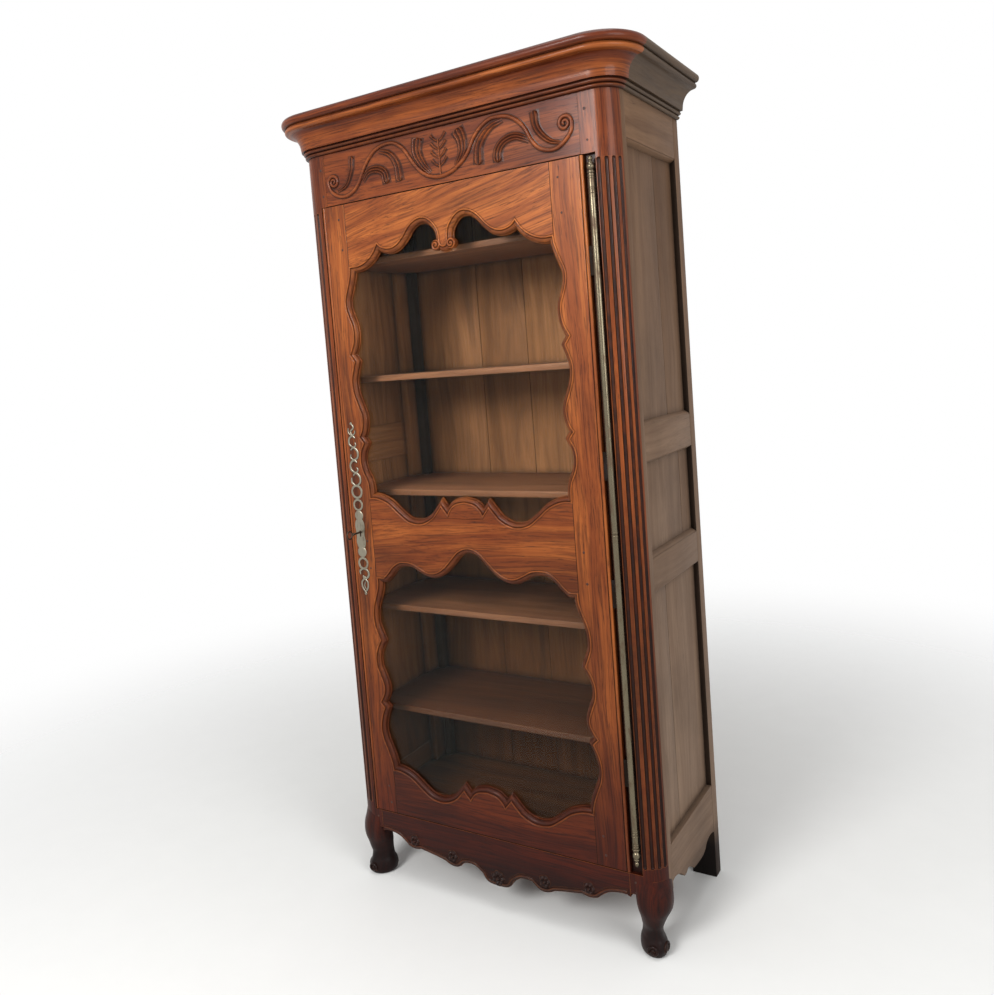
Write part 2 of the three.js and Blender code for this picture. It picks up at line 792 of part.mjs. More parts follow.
const panelGrooveLow = sideBottomRailTop - panelTongue;
const panelGrooveHigh = sideTopRailBottom + panelTongue;

function buildFrontPosts() {
  for (const side of [-1, 1]) {
    const width = side < 0 ? leftPostWidth : rightPostWidth;
    const shaft = prismZ(postPlan(width), legHeight * shaftStartShare, corniceBottom);
    let post = union([shaft, legBody(), toeScrolls()]);
    for (const flute of flutes()) {
      post = post.subtract(flute);
    }
    for (const [, low, high] of sideRailSpans) {
      post = post.subtract(sideTenon(true, low, high, fit));
    }
    post = post.subtract(box(
      panelInner - fit, panelOuter + fit, sideFront - panelTongue - fit, sideFront + overrun,
      panelGrooveLow - fit, panelGrooveHigh + fit,
    ));
    if (side < 0) {
      post = mirrorX(post);
    }
    for (const span of [friezeTenonSpan, apronTenonSpan]) {
      post = post.subtract(frontTenon(side, span, fit));
    }
    const low = doorBottom - doorEdgeGap;
    const high = doorTop + doorEdgeGap;
    const rebateBack = doorBack + doorBackGap;
    if (side < 0) {
      post = post.subtract(box(
        doorLeft - doorEdgeGap, leftPostInner + overrun, frontY - overrun, rebateBack, low, high,
      ));
      post = post.subtract(keeperSeat());
    } else {
      post = post.subtract(box(
        rightPostInner - overrun, doorRight + doorEdgeGap, frontY - overrun, rebateBack, low, high,
      ));
      post = post.subtract(box(
        doorRight - overrun, recessRight, frontY - overrun, frontY + recessDepth, low, high,
      ));
      post = post.subtract(box(
        recessRight + postBead, recessRight + postBead + grooveWide, frontY - overrun, frontY + grooveDeep,
        fluteBottom, fluteTop,
      ));
      for (const [z0, z1] of frameWingSpans()) {
        post = post.subtract(
          box(recessRight - overrun, recessRight + wingBite, wingFront, wingBack, z0, z1),
        );
      }
    }
    addPiece(side < 0 ? "front_post_left" : "front_post_right", post, frontWood);
  }
}

// Back posts are plain and stand straight on the floor
function buildBackPosts() {
  for (const side of [-1, 1]) {
    let post = box(backPostInner, halfWidth, sideBack, backY, 0, corniceBottom);
    for (const [, low, high] of sideRailSpans) {
      post = post.subtract(sideTenon(false, low, high, fit));
    }
    post = post.subtract(box(
      panelInner - fit, panelOuter + fit, sideBack - overrun, sideBack + panelTongue + fit,
      panelGrooveLow - fit, panelGrooveHigh + fit,
    ));
    for (const [low, high] of backRailSpans) {
      post = post.subtract(backTenon(low, high, fit));
    }
    addPiece(side < 0 ? "back_post_left" : "back_post_right", side < 0 ? mirrorX(post) : post, sideWood);
  }
}

// Lower edge of the side rails, from the front post to the back post
const sideApronShares = [
  [0, 0.97], [0.05, 1], [0.12, 0.92], [0.19, 0.74], [0.25, 0.46, 1], [0.29, 0.44],
  [0.335, 0.56, 1], [0.4, 0.42], [0.47, 0.16], [0.53, 0.1, 1], [0.62, 0.06], [0.7, 0.06],
  [0.76, 0.16, 1], [0.8, 0.34], [0.87, 0.44], [0.94, 0.42], [1, 0.3],
];
const sideApronLow = 118;

function sideApronLine() {
  const length = sideBack - sideFront;
  return smooth(
    sideApronShares.map((s) => [
      sideFront + s[0] * length,
      sideApronLow + s[1] * (sideApronRise - sideApronLow),
      s[2],
    ]),
    outlineStep,
  );
}

// A side rail's section in X and Z, moulded on the edges that meet a panel
function railSection(low, high, mouldLow, mouldHigh) {
  const step = railMould / 4;
  const bottom = mouldLow
    ? [[panelOuter + fit, low], [halfWidth - step, low + railMould - step], [halfWidth, low + railMould]]
    : [[halfWidth, low]];
  const top = mouldHigh
    ? [[halfWidth, high - railMould], [halfWidth - step, high - railMould + step], [panelOuter + fit, high]]
    : [[halfWidth, high]];
  return [[sideInner, low], ...bottom, ...top, [sideInner, high]];
}

function buildSideRails() {
  for (const side of [-1, 1]) {
    for (const [label, low, high] of sideRailSpans) {
      let rail;
      if (low === 0) {
        const line = [...sideApronLine(), [sideBack, high], [sideFront, high]];
        rail = prismX(line, sideInner, halfWidth);
      } else {
        rail = prismY(railSection(low, high, true, label !== "top"), sideFront, sideBack);
      }
      rail = union([rail, sideTenon(true, low, high, 0), sideTenon(false, low, high, 0)]);
      for (const edge of [low, high]) {
        if (edge > 0 && edge < corniceBottom) {
          rail = rail.subtract(box(
            panelInner - fit, panelOuter + fit, sideFront - overrun, sideBack + overrun,
            edge - panelTongue - fit, edge + panelTongue + fit,
          ));
        }
      }
      const tenons = [true, false].map((atFront) => sideTenon(atFront, low, high, 0));
      rail = union([rail, ...tenons]);
      const name = `side_${label}_rail_${side < 0 ? "left" : "right"}`;
      addPiece(name, side < 0 ? mirrorX(rail) : rail, sideWood);
    }
  }
}

function buildSidePanels() {
  const spans = [
    ["lower", sideBottomRailTop, lowerMiddleRail],
    ["middle", lowerMiddleRail + lowerMiddleRailHeight, upperMiddleRail],
    ["upper", upperMiddleRail + upperMiddleRailHeight, sideTopRailBottom],
  ];
  for (const side of [-1, 1]) {
    for (const [label, low, high] of spans) {
      const body = box(
        panelInner, panelOuter, sideFront - panelTongue, sideBack + panelTongue, low - panelTongue,
        high + panelTongue,
      );
      const name = `side_${label}_panel_${side < 0 ? "left" : "right"}`;
      addPiece(name, side < 0 ? mirrorX(body) : body, sideWood);
    }
  }
}

// The frieze carries a raised vine with a scroll at each end, as shares of its length and height
const vineShares = [
  [-0.455, 0.44], [-0.468, 0.5], [-0.475, 0.43], [-0.458, 0.27], [-0.425, 0.16], [-0.39, 0.13],
  [-0.35, 0.18], [-0.325, 0.3], [-0.305, 0.5], [-0.28, 0.7], [-0.25, 0.85], [-0.21, 0.92],
  [-0.165, 0.9], [-0.13, 0.78], [-0.1, 0.58], [-0.075, 0.39], [-0.045, 0.2], [-0.005, 0.12],
];
const vineRadius = 4.5;
const vineSteps = 66;
const leafProud = 3;
// Leaves as closed outlines in shares of the frieze's length and height, for the left half
const leafShares = [
  [
    [-0.4, 0.22], [-0.35, 0.34], [-0.315, 0.52], [-0.3, 0.72], [-0.305, 0.9], [-0.29, 0.9],
    [-0.282, 0.7], [-0.3, 0.48], [-0.33, 0.32], [-0.37, 0.22],
  ],
  [
    [-0.31, 0.36], [-0.27, 0.56], [-0.225, 0.58], [-0.185, 0.46], [-0.165, 0.28], [-0.18, 0.14],
    [-0.2, 0.16], [-0.205, 0.3], [-0.235, 0.42], [-0.27, 0.42],
  ],
  [
    [-0.22, 0.84], [-0.165, 0.76], [-0.13, 0.58], [-0.118, 0.38], [-0.125, 0.16], [-0.145, 0.16],
    [-0.16, 0.4], [-0.175, 0.6], [-0.2, 0.72],
  ],
  [
    [-0.045, 0.26], [-0.07, 0.42], [-0.085, 0.66], [-0.08, 0.88], [-0.055, 0.88], [-0.052, 0.64],
    [-0.045, 0.42], [-0.03, 0.24],
  ],
];
const stemShares = [[-0.006, 0.14], [-0.008, 0.84], [0.008, 0.84], [0.006, 0.14]];

function friezeCarving() {
  const length = rightPostInner - leftPostInner;
  const height = corniceBottom - friezeBottom;
  const middle = (leftPostInner + rightPostInner) / 2;
  const left = vineShares.map((s) => [middle + s[0] * length, friezeBottom + s[1] * height]);
  const right = left.map((p) => [2 * middle - p[0], p[1]]).reverse();
  const curve = new THREE.CatmullRomCurve3(
    [...left, ...right].map((p) => new THREE.Vector3(p[0], frontY, p[1])),
    false,
    "centripetal",
  );
  const ring = shapeOf(arc(0, 0, vineRadius, 0, 300, 5), []);
  const vine = new THREE.ExtrudeGeometry(
    ring, { steps: vineSteps, extrudePath: curve, bevelEnabled: false },
  );
  const leaves = [];
  for (const leaf of leafShares) {
    for (const side of [1, -1]) {
      const outline = leaf.map((s) => [middle + side * s[0] * length, friezeBottom + s[1] * height]);
      leaves.push(prismY(outline, frontY - leafProud, frontY + leafProud));
    }
  }
  const stem = stemShares.map((s) => [middle + s[0] * length, friezeBottom + s[1] * height]);
  leaves.push(prismY(stem, frontY - leafProud, frontY + leafProud));
  return union([solid(vine), ...leaves]);
}

function buildFrieze() {
  const rail = box(
    leftPostInner, rightPostInner, frontY, frontY + frontRailThick, friezeBottom, corniceBottom,
  );
  const tenons = [-1, 1].map((side) => frontTenon(side, friezeTenonSpan, 0));
  addPiece("frieze_rail", union([rail, friezeCarving(), ...tenons]), frontWood);
}

// Half of the apron's lower edge from its middle outwards, in shares of half its length and of its depth
const apronShares = [
  [0, 0], [0.042, 0], [0.085, 0.03], [0.11, 0.095], [0.124, 0.17], [0.146, 0.22, 1],
  [0.187, 0.29], [0.241, 0.305], [0.28, 0.275], [0.308, 0.2, 1], [0.341, 0.155], [0.378, 0.15],
  [0.413, 0.175], [0.447, 0.225, 1], [0.517, 0.265], [0.602, 0.305], [0.654, 0.33, 1],
  [0.69, 0.305], [0.73, 0.305], [0.766, 0.335, 1], [0.808, 0.435], [0.851, 0.51],
  [0.91, 0.55], [0.965, 0.56], [1, 0.53],
];
const apronLow = 77;
const bossRadius = 17;
const bossProud = 5;
const bossPlaceShares = [[0.374, 0.37], [0.707, 0.48]];
const centreBossShare = 0.16;
const boardGroove = 8;

function buildApron() {
  const half = (rightPostInner - leftPostInner) / 2;
  const middle = (leftPostInner + rightPostInner) / 2;
  const depth = apronTop - apronLow;
  const line = smooth(apronShares.map((s) => [s[0] * half, apronLow + s[1] * depth, s[2]]), outlineStep);
  const right = line.map((p) => [middle + p[0], p[1]]);
  const left = line.slice(1).reverse().map((p) => [middle - p[0], p[1]]);
  const outline = [...left, ...right, [rightPostInner, apronTop], [leftPostInner, apronTop]];
  let rail = prismY(outline, frontY, frontY + frontRailThick);
  const bossFront = frontY - bossProud;
  const railBack = frontY + frontRailThick;
  for (const [along, up] of bossPlaceShares) {
    for (const side of [-1, 1]) {
      rail = rail.add(cylinderY(
        middle + side * along * half, apronLow + up * depth, bossRadius, bossFront, railBack, 14,
      ));
    }
  }
  rail = rail.add(cylinderY(
    middle, apronLow + centreBossShare * depth, bossRadius + bossProud, bossFront, railBack, 16,
  ));
  rail = rail.subtract(box(
    leftPostInner - overrun, rightPostInner + overrun, railBack - boardGroove - fit, railBack + overrun,
    floorTop - boardThick - fit, floorTop + fit,
  ));
  addPiece(
    "apron_rail", union([rail, ...[-1, 1].map((side) => frontTenon(side, apronTenonSpan, 0))]), frontWood,
  );
}

// Cornice profile from the bottom up, in shares of the overhang and the height, then its inner side
const corniceShares = [
  [0.04, 0], [0.11, 0.035], [0.11, 0.075], [0.07, 0.095], [0.17, 0.12], [0.18, 0.165],
  [0.15, 0.19], [0.26, 0.195], [0.275, 0.25], [0.3, 0.36], [0.36, 0.46], [0.46, 0.55],
  [0.62, 0.625], [0.8, 0.65], [0.86, 0.68], [0.87, 0.74], [0.83, 0.785], [0.88, 0.8],
  [0.985, 0.84], [1, 0.885], [0.97, 0.95], [0.87, 1],
];
const corniceLedge = 14;
const corniceLedgeHeight = 20;
const corniceBackShare = 0.55;

function corniceProfile() {
  const face = corniceShares.map((s) => [s[0] * corniceOverhang, corniceBottom + s[1] * corniceHeight]);
  return [
    ...face,
    [corniceBackShare * corniceOverhang, totalHeight],
    [-corniceLedge, corniceBottom + corniceLedgeHeight],
    [-corniceLedge, corniceBottom],
  ];
}

function buildCornice() {
  const profile = corniceProfile();
  const cornerSteps = 7;
  const stations = [];
  for (const [cx, from] of [[-halfWidth + cornerRadius, 180], [halfWidth - cornerRadius, 270]]) {
    for (let i = 0; i <= cornerSteps; i += 1) {
      stations.push([cx, THREE.MathUtils.degToRad(from + (90 * i) / cornerSteps)]);
    }
  }
  const rings = stations.map(([cx, angle]) => profile.map(([out, level]) => [
    cx + (cornerRadius + out) * Math.cos(angle),
    frontY + cornerRadius + (cornerRadius + out) * Math.sin(angle),
    level,
  ]));
  addPiece("cornice_front", loft(rings, profile), frontWood);
  const section = profile.map(([out, level]) => [halfWidth + out, level]);
  const side = prismY(section, frontY + cornerRadius, backY);
  addPiece("cornice_right", side, sideWood);
  addPiece("cornice_left", mirrorX(side), sideWood);
  addPiece("cornice_back", box(
    -halfWidth + corniceLedge, halfWidth - corniceLedge, backY - boardThick, backY,
    corniceBottom + boardThick, totalHeight - corniceLedge,
  ), innerWood);
}

function buildBoards() {
  const edge = halfWidth - corniceLedge - fit;
  const round = cornerRadius - corniceLedge - fit;
  const front = frontY + cornerRadius - round;
  const plan = [
    ...arc(-edge + round, front + round, round, 180, 270, 5),
    ...arc(edge - round, front + round, round, 270, 360, 5),
    [edge, backY],
    [-edge, backY],
  ];
  addPiece("top_board", prismZ(plan, corniceBottom, corniceBottom + boardThick), innerWood);
  const boardBottom = floorTop - boardThick;
  const floor = union([
    box(
      leftPostInner, rightPostInner, frontY + frontRailThick - boardGroove, sideBack,
      boardBottom, floorTop,
    ),
    box(-sideInner, sideInner, sideFront, sideBack, boardBottom, floorTop),
    box(-backPostInner, backPostInner, sideFront, backBoardFace, boardBottom, floorTop),
  ]);
  addPiece("floor_board", floor, innerWood);
}

// Notched battens in the corners carry the shelves
const battenPlaces = [
  ["front", sideFront],
  ["back", sideBack - battenDepth],
];

function buildBattens() {
  for (const side of [-1, 1]) {
    for (const [label, start] of battenPlaces) {
      let batten = box(
        sideInner - battenThick, sideInner, start, start + battenDepth, floorTop, corniceBottom,
      );
      for (const top of shelfTops) {
        batten = batten.subtract(box(
          sideInner - battenThick - overrun, shelfEnd + fit,
          Math.max(start - overrun, frontY + shelfSetback - fit),
          start + battenDepth + overrun, top - shelfThick, top + fit,
        ));
      }
      const name = `shelf_batten_${label}_${side < 0 ? "left" : "right"}`;
      addPiece(name, side < 0 ? mirrorX(batten) : batten, innerWood);
    }
  }
}

function buildShelves() {
  shelfTops.forEach((top, i) => {
    let shelf = box(-shelfEnd, shelfEnd, frontY + shelfSetback, backBoardFace - fit, top - shelfThick, top);
    for (const side of [-1, 1]) {
      const x0 = side < 0 ? -halfWidth : backPostInner - fit;
      const x1 = side < 0 ? -backPostInner + fit : halfWidth;
      shelf = shelf.subtract(box(x0, x1, sideBack - fit, backY, top - shelfThick - overrun, top + overrun));
    }
    addPiece(`shelf_${i + 1}`, shelf, innerWood);
  });
}

// The back: two rails between the posts and upright boards nailed over them
const backRailSpans = [
  [floorTop - boardThick - backRailHeight, floorTop - boardThick],
  [corniceBottom - backRailHeight, corniceBottom],
];
const backBoardShares = [-1, -0.45, -0.05, 0.4, 1];
const backTenonLength = 20;

function backTenon(low, high, slack) {
  const front = backBoardFace - (backRailThick + tenonThick) / 2;
  return box(
    backPostInner - overrun, backPostInner + backTenonLength + slack,
    front - slack, front + tenonThick + slack,
    low + tenonShoulder - slack, high - tenonShoulder + slack,
  );
}

function buildBack() {
  const names = ["back_bottom_rail", "back_top_rail"];
  backRailSpans.forEach(([low, high], i) => {
    const rail = box(
      -backPostInner, backPostInner, backBoardFace - backRailThick, backBoardFace, low, high,
    );
    const tenon = backTenon(low, high, 0);
    addPiece(names[i], union([rail, tenon, mirrorX(tenon)]), innerWood);
  });
  for (let i = 0; i + 1 < backBoardShares.length; i += 1) {
    const x0 = backBoardShares[i] * backPostInner;
    const last = i + 2 === backBoardShares.length;
    const x1 = backBoardShares[i + 1] * backPostInner - (last ? 0 : doorBackGap);
    addPiece(
      `back_board_${i + 1}`, box(x0, x1, backBoardFace, backY, backRailSpans[0][0], corniceBottom),
      innerWood,
    );
  }
}

// Barrel hinge: two door barrels turn on a rod that the frame's knuckles hold
function knuckleProfile(low, high, closed) {
  const collar = barrelRadius + collarProud;
  const profile = [
    [barrelRadius, low], [barrelRadius, high - collarHeight], [collar, high - collarHeight], [collar, high],
  ];
  return closed ? [[0, low], ...profile, [0, high]] : profile;
}

// A turned finial in shares of the barrel's radius and of its own height, from its knuckle outwards
const finialShares = [
  [1, 0], [1.25, 0.04], [1.25, 0.1], [0.75, 0.16], [1.1, 0.3], [1.2, 0.42],
  [0.9, 0.58], [0.45, 0.7], [0.7, 0.78], [0.6, 0.9], [0, 1],
];

function finial(from, to) {
  return finialShares.map((s) => [s[0] * barrelRadius, from + s[1] * (to - from)]);
}

function frameWingSpans() {
  return [
    [lowerCollar - knuckleHeight, lowerCollar - collarHeight],
    [upperCollar + collarHeight, upperCollar + knuckleHeight],
  ];
}

const hingeSides = 24;

function buildHinge() {
  const lowKnuckle = lowerCollar - knuckleHeight;
  const rodTop = upperCollar - fit;
  const lowProfile = [
    ...finial(lowKnuckle, finialBottom).reverse(),
    ...knuckleProfile(lowKnuckle, lowerCollar, false).slice(1),
    [rodRadius, lowerCollar],
    [rodRadius, rodTop],
    [0, rodTop],
  ];
  const [lowWing, highWing] = frameWingSpans();
  const lowBody = turned(hingeX, hingeY, lowProfile, hingeSides)
    .add(box(hingeX, recessRight + wingBite, wingFront, wingBack, lowWing[0], lowWing[1]));
  addPiece("hinge_lower_knuckle", lowBody, steel);
  const highProfile = [
    [0, upperCollar],
    [barrelRadius, upperCollar],
    ...finial(upperCollar + knuckleHeight, finialTop),
  ];
  const highBody = turned(hingeX, hingeY, highProfile, hingeSides)
    .add(box(hingeX, recessRight + wingBite, wingFront, wingBack, highWing[0], highWing[1]));
  addPiece("hinge_upper_knuckle", highBody, steel);
  const bore = rodRadius + runningGap;
  const spans = [
    ["hinge_lower_barrel", lowerCollar + fit, middleCollar - fit],
    ["hinge_upper_barrel", middleCollar, upperCollar - fit],
  ];
  spans.forEach(([name, low, high], i) => {
    const profile = [[bore, low], ...knuckleProfile(low, high, false), [bore, high], [bore, low]];
    let barrel = turned(hingeX, hingeY, profile, hingeSides);
    const hollow = cylinderZ(hingeX, hingeY, bore, low - overrun, high + overrun);
    for (const [z0, z1] of hingeWingSpans().slice(2 * i, 2 * i + 2)) {
      barrel = barrel.add(box(doorRight - wingBite, hingeX, wingFront, wingBack, z0, z1).subtract(hollow));
    }
    addPiece(name, barrel, steel);
  });
}

function cylinderZ(x, y, radius, z0, z1) {
  const geometry = new THREE.CylinderGeometry(radius, radius, z1 - z0, hingeSides);
  geometry.rotateX(Math.PI / 2);
  geometry.translate(x, y, (z0 + z1) / 2);
  return solid(geometry);
}

// Lock: an open-backed case on the stile, a sliding bolt and a keeper in the post
const boltZ = keyZ + boltRise;
const boltY = doorBack + lockDepth / 2;

function keeperSeat() {
  return union([
    box(
      leftPostInner - keeperThick, leftPostInner + overrun, doorBack + doorBackGap,
      doorBack + lockDepth + overrun, boltZ - keeperHeight / 2, boltZ + keeperHeight / 2,
    ),
    box(
      leftPostInner - boltThrow, leftPostInner + overrun, boltY - boltThick / 2 - boltSlack,
      boltY + boltThick / 2 + boltSlack, boltZ - boltHeight / 2 - boltSlack,
      boltZ + boltHeight / 2 + boltSlack,
    ),
  ]);
}

function buildLock() {
  const backFace = doorBack + lockDepth;
  let casing = box(lockLeft, lockRight, doorBack, backFace, lockBottom, lockTop);
  casing = casing.subtract(box(
    lockLeft + lockWall, lockRight - lockWall, doorBack - overrun, backFace - lockWall,
    lockBottom + lockWall, lockTop - lockWall,
  ));
  casing = casing.subtract(box(
    lockLeft - overrun, lockLeft + lockWall + overrun,
    boltY - boltThick / 2 - fit, boltY + boltThick / 2 + fit,
    boltZ - boltHeight / 2 - fit, boltZ + boltHeight / 2 + fit,
  ));
  addPiece("lock_case", casing, darkIron);
  addPiece("lock_bolt", box(
    lockLeft, lockLeft + boltLength, boltY - boltThick / 2, boltY + boltThick / 2,
    boltZ - boltHeight / 2, boltZ + boltHeight / 2,
  ), steel);
  const plate = box(
    leftPostInner - keeperThick, leftPostInner, doorBack + doorBackGap, backFace + overrun,
    boltZ - keeperHeight / 2, boltZ + keeperHeight / 2,
  );
  const slot = box(
    leftPostInner - boltThrow, leftPostInner + overrun, boltY - boltThick / 2 - boltSlack,
    boltY + boltThick / 2 + boltSlack, boltZ - boltHeight / 2 - boltSlack,
    boltZ + boltHeight / 2 + boltSlack,
  );
  addPiece("lock_keeper", plate.subtract(slot), darkIron);
}

function buildKey() {
  const tip = doorBack + lockDepth - lockWall - fit;
  const bowY = frontY - keyReach;
  const stem = cylinderY(keyX, keyZ, stemRadius, bowY + bowHole, tip, 12);
  const ring = arc(bowY, keyZ, bowRadius, 0, 337.5, 15);
  const outer = prismX(ring, keyX - bowThick / 2, keyX + bowThick / 2);
  const inner = prismX(arc(bowY, keyZ, bowHole, 0, 330, 11), keyX - bowRadius, keyX + bowRadius);
  const bit = box(
    keyX - bitHeight / 2, keyX + bitHeight / 2, tip - lockWall - bitDepth, tip - lockWall, keyZ - bitLength,
    keyZ,
  );
  addPiece("key", union([outer.subtract(inner), stem, bit]), darkIron);
}

// The pierced escutcheon: rings on a thin spine above and below a shield, as shares of its width
// from the keyhole: height, outer radius, hole radius
const plateRingShares = [
  [-4.95, 0.2, 0], [-4.45, 0.36, 0.16], [-3.65, 0.5, 0.3], [-2.72, 0.46, 0.27], [-1.72, 0.45, 0],
  [1.44, 0.42, 0], [2.36, 0.47, 0.28], [3.5, 0.5, 0.33], [4.62, 0.5, 0.3], [5.6, 0.44, 0.24],
  [6.5, 0.5, 0.3], [7.35, 0.36, 0.16], [8.15, 0.42, 0.24], [8.95, 0.3, 0.12], [9.35, 0.16, 0],
];
const shieldShares = [
  [-0.5, -0.85], [-0.3, -1.4], [0.3, -1.4], [0.5, -0.85], [0.42, -0.2],
  [0.5, 0.7], [0.25, 1.15], [-0.25, 1.15], [-0.5, 0.7], [-0.42, -0.2],
];
const spineShare = 0.09;

function buildEscutcheon() {
  const face = frontY - plateThick;
  const spine = spineShare * plateWidth;
  const spineLow = keyZ + plateRingShares[0][0] * plateWidth;
  const spineHigh = keyZ + plateRingShares[plateRingShares.length - 1][0] * plateWidth;
  const pieces = plateRingShares.map(([rise, outer]) => cylinderY(
    keyX, keyZ + rise * plateWidth, outer * plateWidth, face, frontY, 12,
  ));
  pieces.push(
    prismY(shieldShares.map((s) => [keyX + s[0] * plateWidth, keyZ + s[1] * plateWidth]), face, frontY),
  );
  pieces.push(box(keyX - spine, keyX + spine, face, frontY, spineLow, spineHigh));
  let plate = union(pieces);
  for (const [rise, , hole] of plateRingShares.filter((s) => s[2] > 0)) {
    plate = plate.subtract(cylinderY(
      keyX, keyZ + rise * plateWidth, hole * plateWidth, face - overrun, frontY + overrun, 8,
    ));
  }
  addPiece("escutcheon", plate.subtract(keyhole()), paleSteel);
}

buildFrontPosts();
buildBackPosts();
buildFrieze();
buildApron();
buildSideRails();
buildSidePanels();
buildBack();
buildBoards();
buildBattens();
buildShelves();
buildCornice();
buildHinge();
buildDoor();
buildPanes();
buildLock();
buildKey();
buildEscutcheon();

export default cabinet;
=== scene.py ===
"""A one-door glazed bonnetiere: carved and moulded walnut, old glass and polished steel.

Metres, +Z up. X runs to the right seen from the front and the door faces -Y. Outlines are lists
of shares of the sizes that they follow, so a piece keeps its form where a size changes.
"""
import json
import random
from math import copysign, cos, inf, pi, radians, sin, sqrt

import bmesh
import bpy
import numpy as np
from bpy.props import FloatProperty, FloatVectorProperty, PointerProperty
from bpy.types import Operator, PropertyGroup
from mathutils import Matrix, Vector
from mathutils.geometry import tessellate_polygon


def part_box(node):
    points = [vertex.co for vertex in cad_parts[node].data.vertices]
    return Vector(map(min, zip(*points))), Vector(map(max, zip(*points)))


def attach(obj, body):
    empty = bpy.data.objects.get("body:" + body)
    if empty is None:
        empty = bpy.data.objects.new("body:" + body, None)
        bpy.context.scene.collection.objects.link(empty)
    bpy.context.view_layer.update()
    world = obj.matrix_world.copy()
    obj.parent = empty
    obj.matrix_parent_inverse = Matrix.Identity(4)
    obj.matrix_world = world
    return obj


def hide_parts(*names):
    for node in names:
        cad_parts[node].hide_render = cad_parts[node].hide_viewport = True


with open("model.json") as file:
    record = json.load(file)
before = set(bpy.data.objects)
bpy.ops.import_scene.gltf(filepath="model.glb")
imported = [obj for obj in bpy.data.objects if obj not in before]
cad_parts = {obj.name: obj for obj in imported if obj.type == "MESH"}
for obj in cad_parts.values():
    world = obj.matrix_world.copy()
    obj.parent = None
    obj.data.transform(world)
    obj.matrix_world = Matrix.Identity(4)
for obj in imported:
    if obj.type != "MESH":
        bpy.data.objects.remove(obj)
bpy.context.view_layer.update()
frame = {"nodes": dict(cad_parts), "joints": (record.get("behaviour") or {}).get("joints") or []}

bl_info = {
    "name": "Bonnetiere",
    "version": (1, 0, 0),
    "blender": (4, 5, 0),
    "location": "View3D > Sidebar > Bonnetiere",
    "description": "Builds the looks of a carved one-door cabinet round its frame",
    "category": "Add Mesh",
}

# Planes of the carcass and the door, read from the frame
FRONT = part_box("escutcheon")[1].y
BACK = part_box("back_board_1")[1].y
HALF_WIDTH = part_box("back_post_right")[1].x
SIDE_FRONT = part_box("shelf_batten_front_right")[0].y
SIDE_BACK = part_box("back_post_right")[0].y
POST_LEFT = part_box("front_post_left")[1].x
POST_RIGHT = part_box("front_post_right")[0].x
BETWEEN_POSTS = POST_RIGHT - POST_LEFT
MIDDLE = (POST_LEFT + POST_RIGHT) / 2
CORNICE_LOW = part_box("cornice_front")[0].z
CORNICE_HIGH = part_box("cornice_front")[1].z
CORNICE_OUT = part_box("cornice_right")[1].x - HALF_WIDTH
FRIEZE_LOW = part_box("frieze_rail")[0].z
FRIEZE_HEIGHT = CORNICE_LOW - FRIEZE_LOW
APRON_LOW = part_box("apron_rail")[0].z
APRON_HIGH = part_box("apron_rail")[1].z
RAIL_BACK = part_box("frieze_rail")[1].y
DOOR_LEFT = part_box("door_lock_stile")[0].x
DOOR_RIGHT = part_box("door_hinge_stile")[1].x
DOOR_LOW, DOOR_HIGH = (corner.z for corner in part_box("door_lock_stile"))
DOOR_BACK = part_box("door_lock_stile")[1].y
HINGE_X, HINGE_Y = frame["joints"][0]["pos_m"][:2]
KEY_X, _, KEY_Z = frame["joints"][1]["pos_m"]
# Depth of the layer that carries the mouldings, and where the plain back layer starts
MOULDED = 0.0168
SPLIT = FRONT + MOULDED

# Outlines of the glazed openings, as shares of the half width and of the heights that they
# follow. A third entry of 1 marks a corner.
SILL_SHARES = [
    (0, -0.1), (0.09, -0.19), (0.138, -0.37), (0.172, -0.64, 1), (0.236, -0.27, 1), (0.283, -0.52),
    (0.325, -0.72), (0.42, -0.95), (0.5, -1), (0.6, -0.9), (0.7, -0.58), (0.795, -0.23),
    (0.87, -0.07), (0.93, 0), (1, 0, 1),
]
SIDE_SHARES = {
    "upper": [
        (0, 0, 1), (0.1, 0.07), (0.53, 0.122), (0.71, 0.167), (0.57, 0.211), (0.22, 0.244, 1),
        (0.63, 0.271, 1), (0.3, 0.298), (0.13, 0.331), (0.13, 0.364), (0.49, 0.414), (0.81, 0.465),
        (0.88, 0.516), (0.66, 0.559), (0.4, 0.595, 1), (0.85, 0.626, 1), (0.4, 0.671),
        (0.24, 0.714), (0.31, 0.749), (0.6, 0.789), (0.81, 0.829), (0.79, 0.866), (0.4, 0.919),
        (0.07, 0.971), (0, 1, 1),
    ],
    "lower": [
        (0, 0, 1), (0.19, 0.058), (0.51, 0.108), (0.9, 0.168), (1, 0.224), (0.78, 0.284),
        (0.46, 0.326, 1), (0.88, 0.351, 1), (0.57, 0.378), (0.3, 0.41), (0.26, 0.436),
        (0.49, 0.477), (0.84, 0.53), (0.9, 0.586), (0.66, 0.634), (0.25, 0.675, 1), (0.57, 0.72),
        (0.75, 0.752), (0.79, 0.798), (0.63, 0.856), (0.25, 0.911), (0, 0.959), (0, 1, 1),
    ],
}
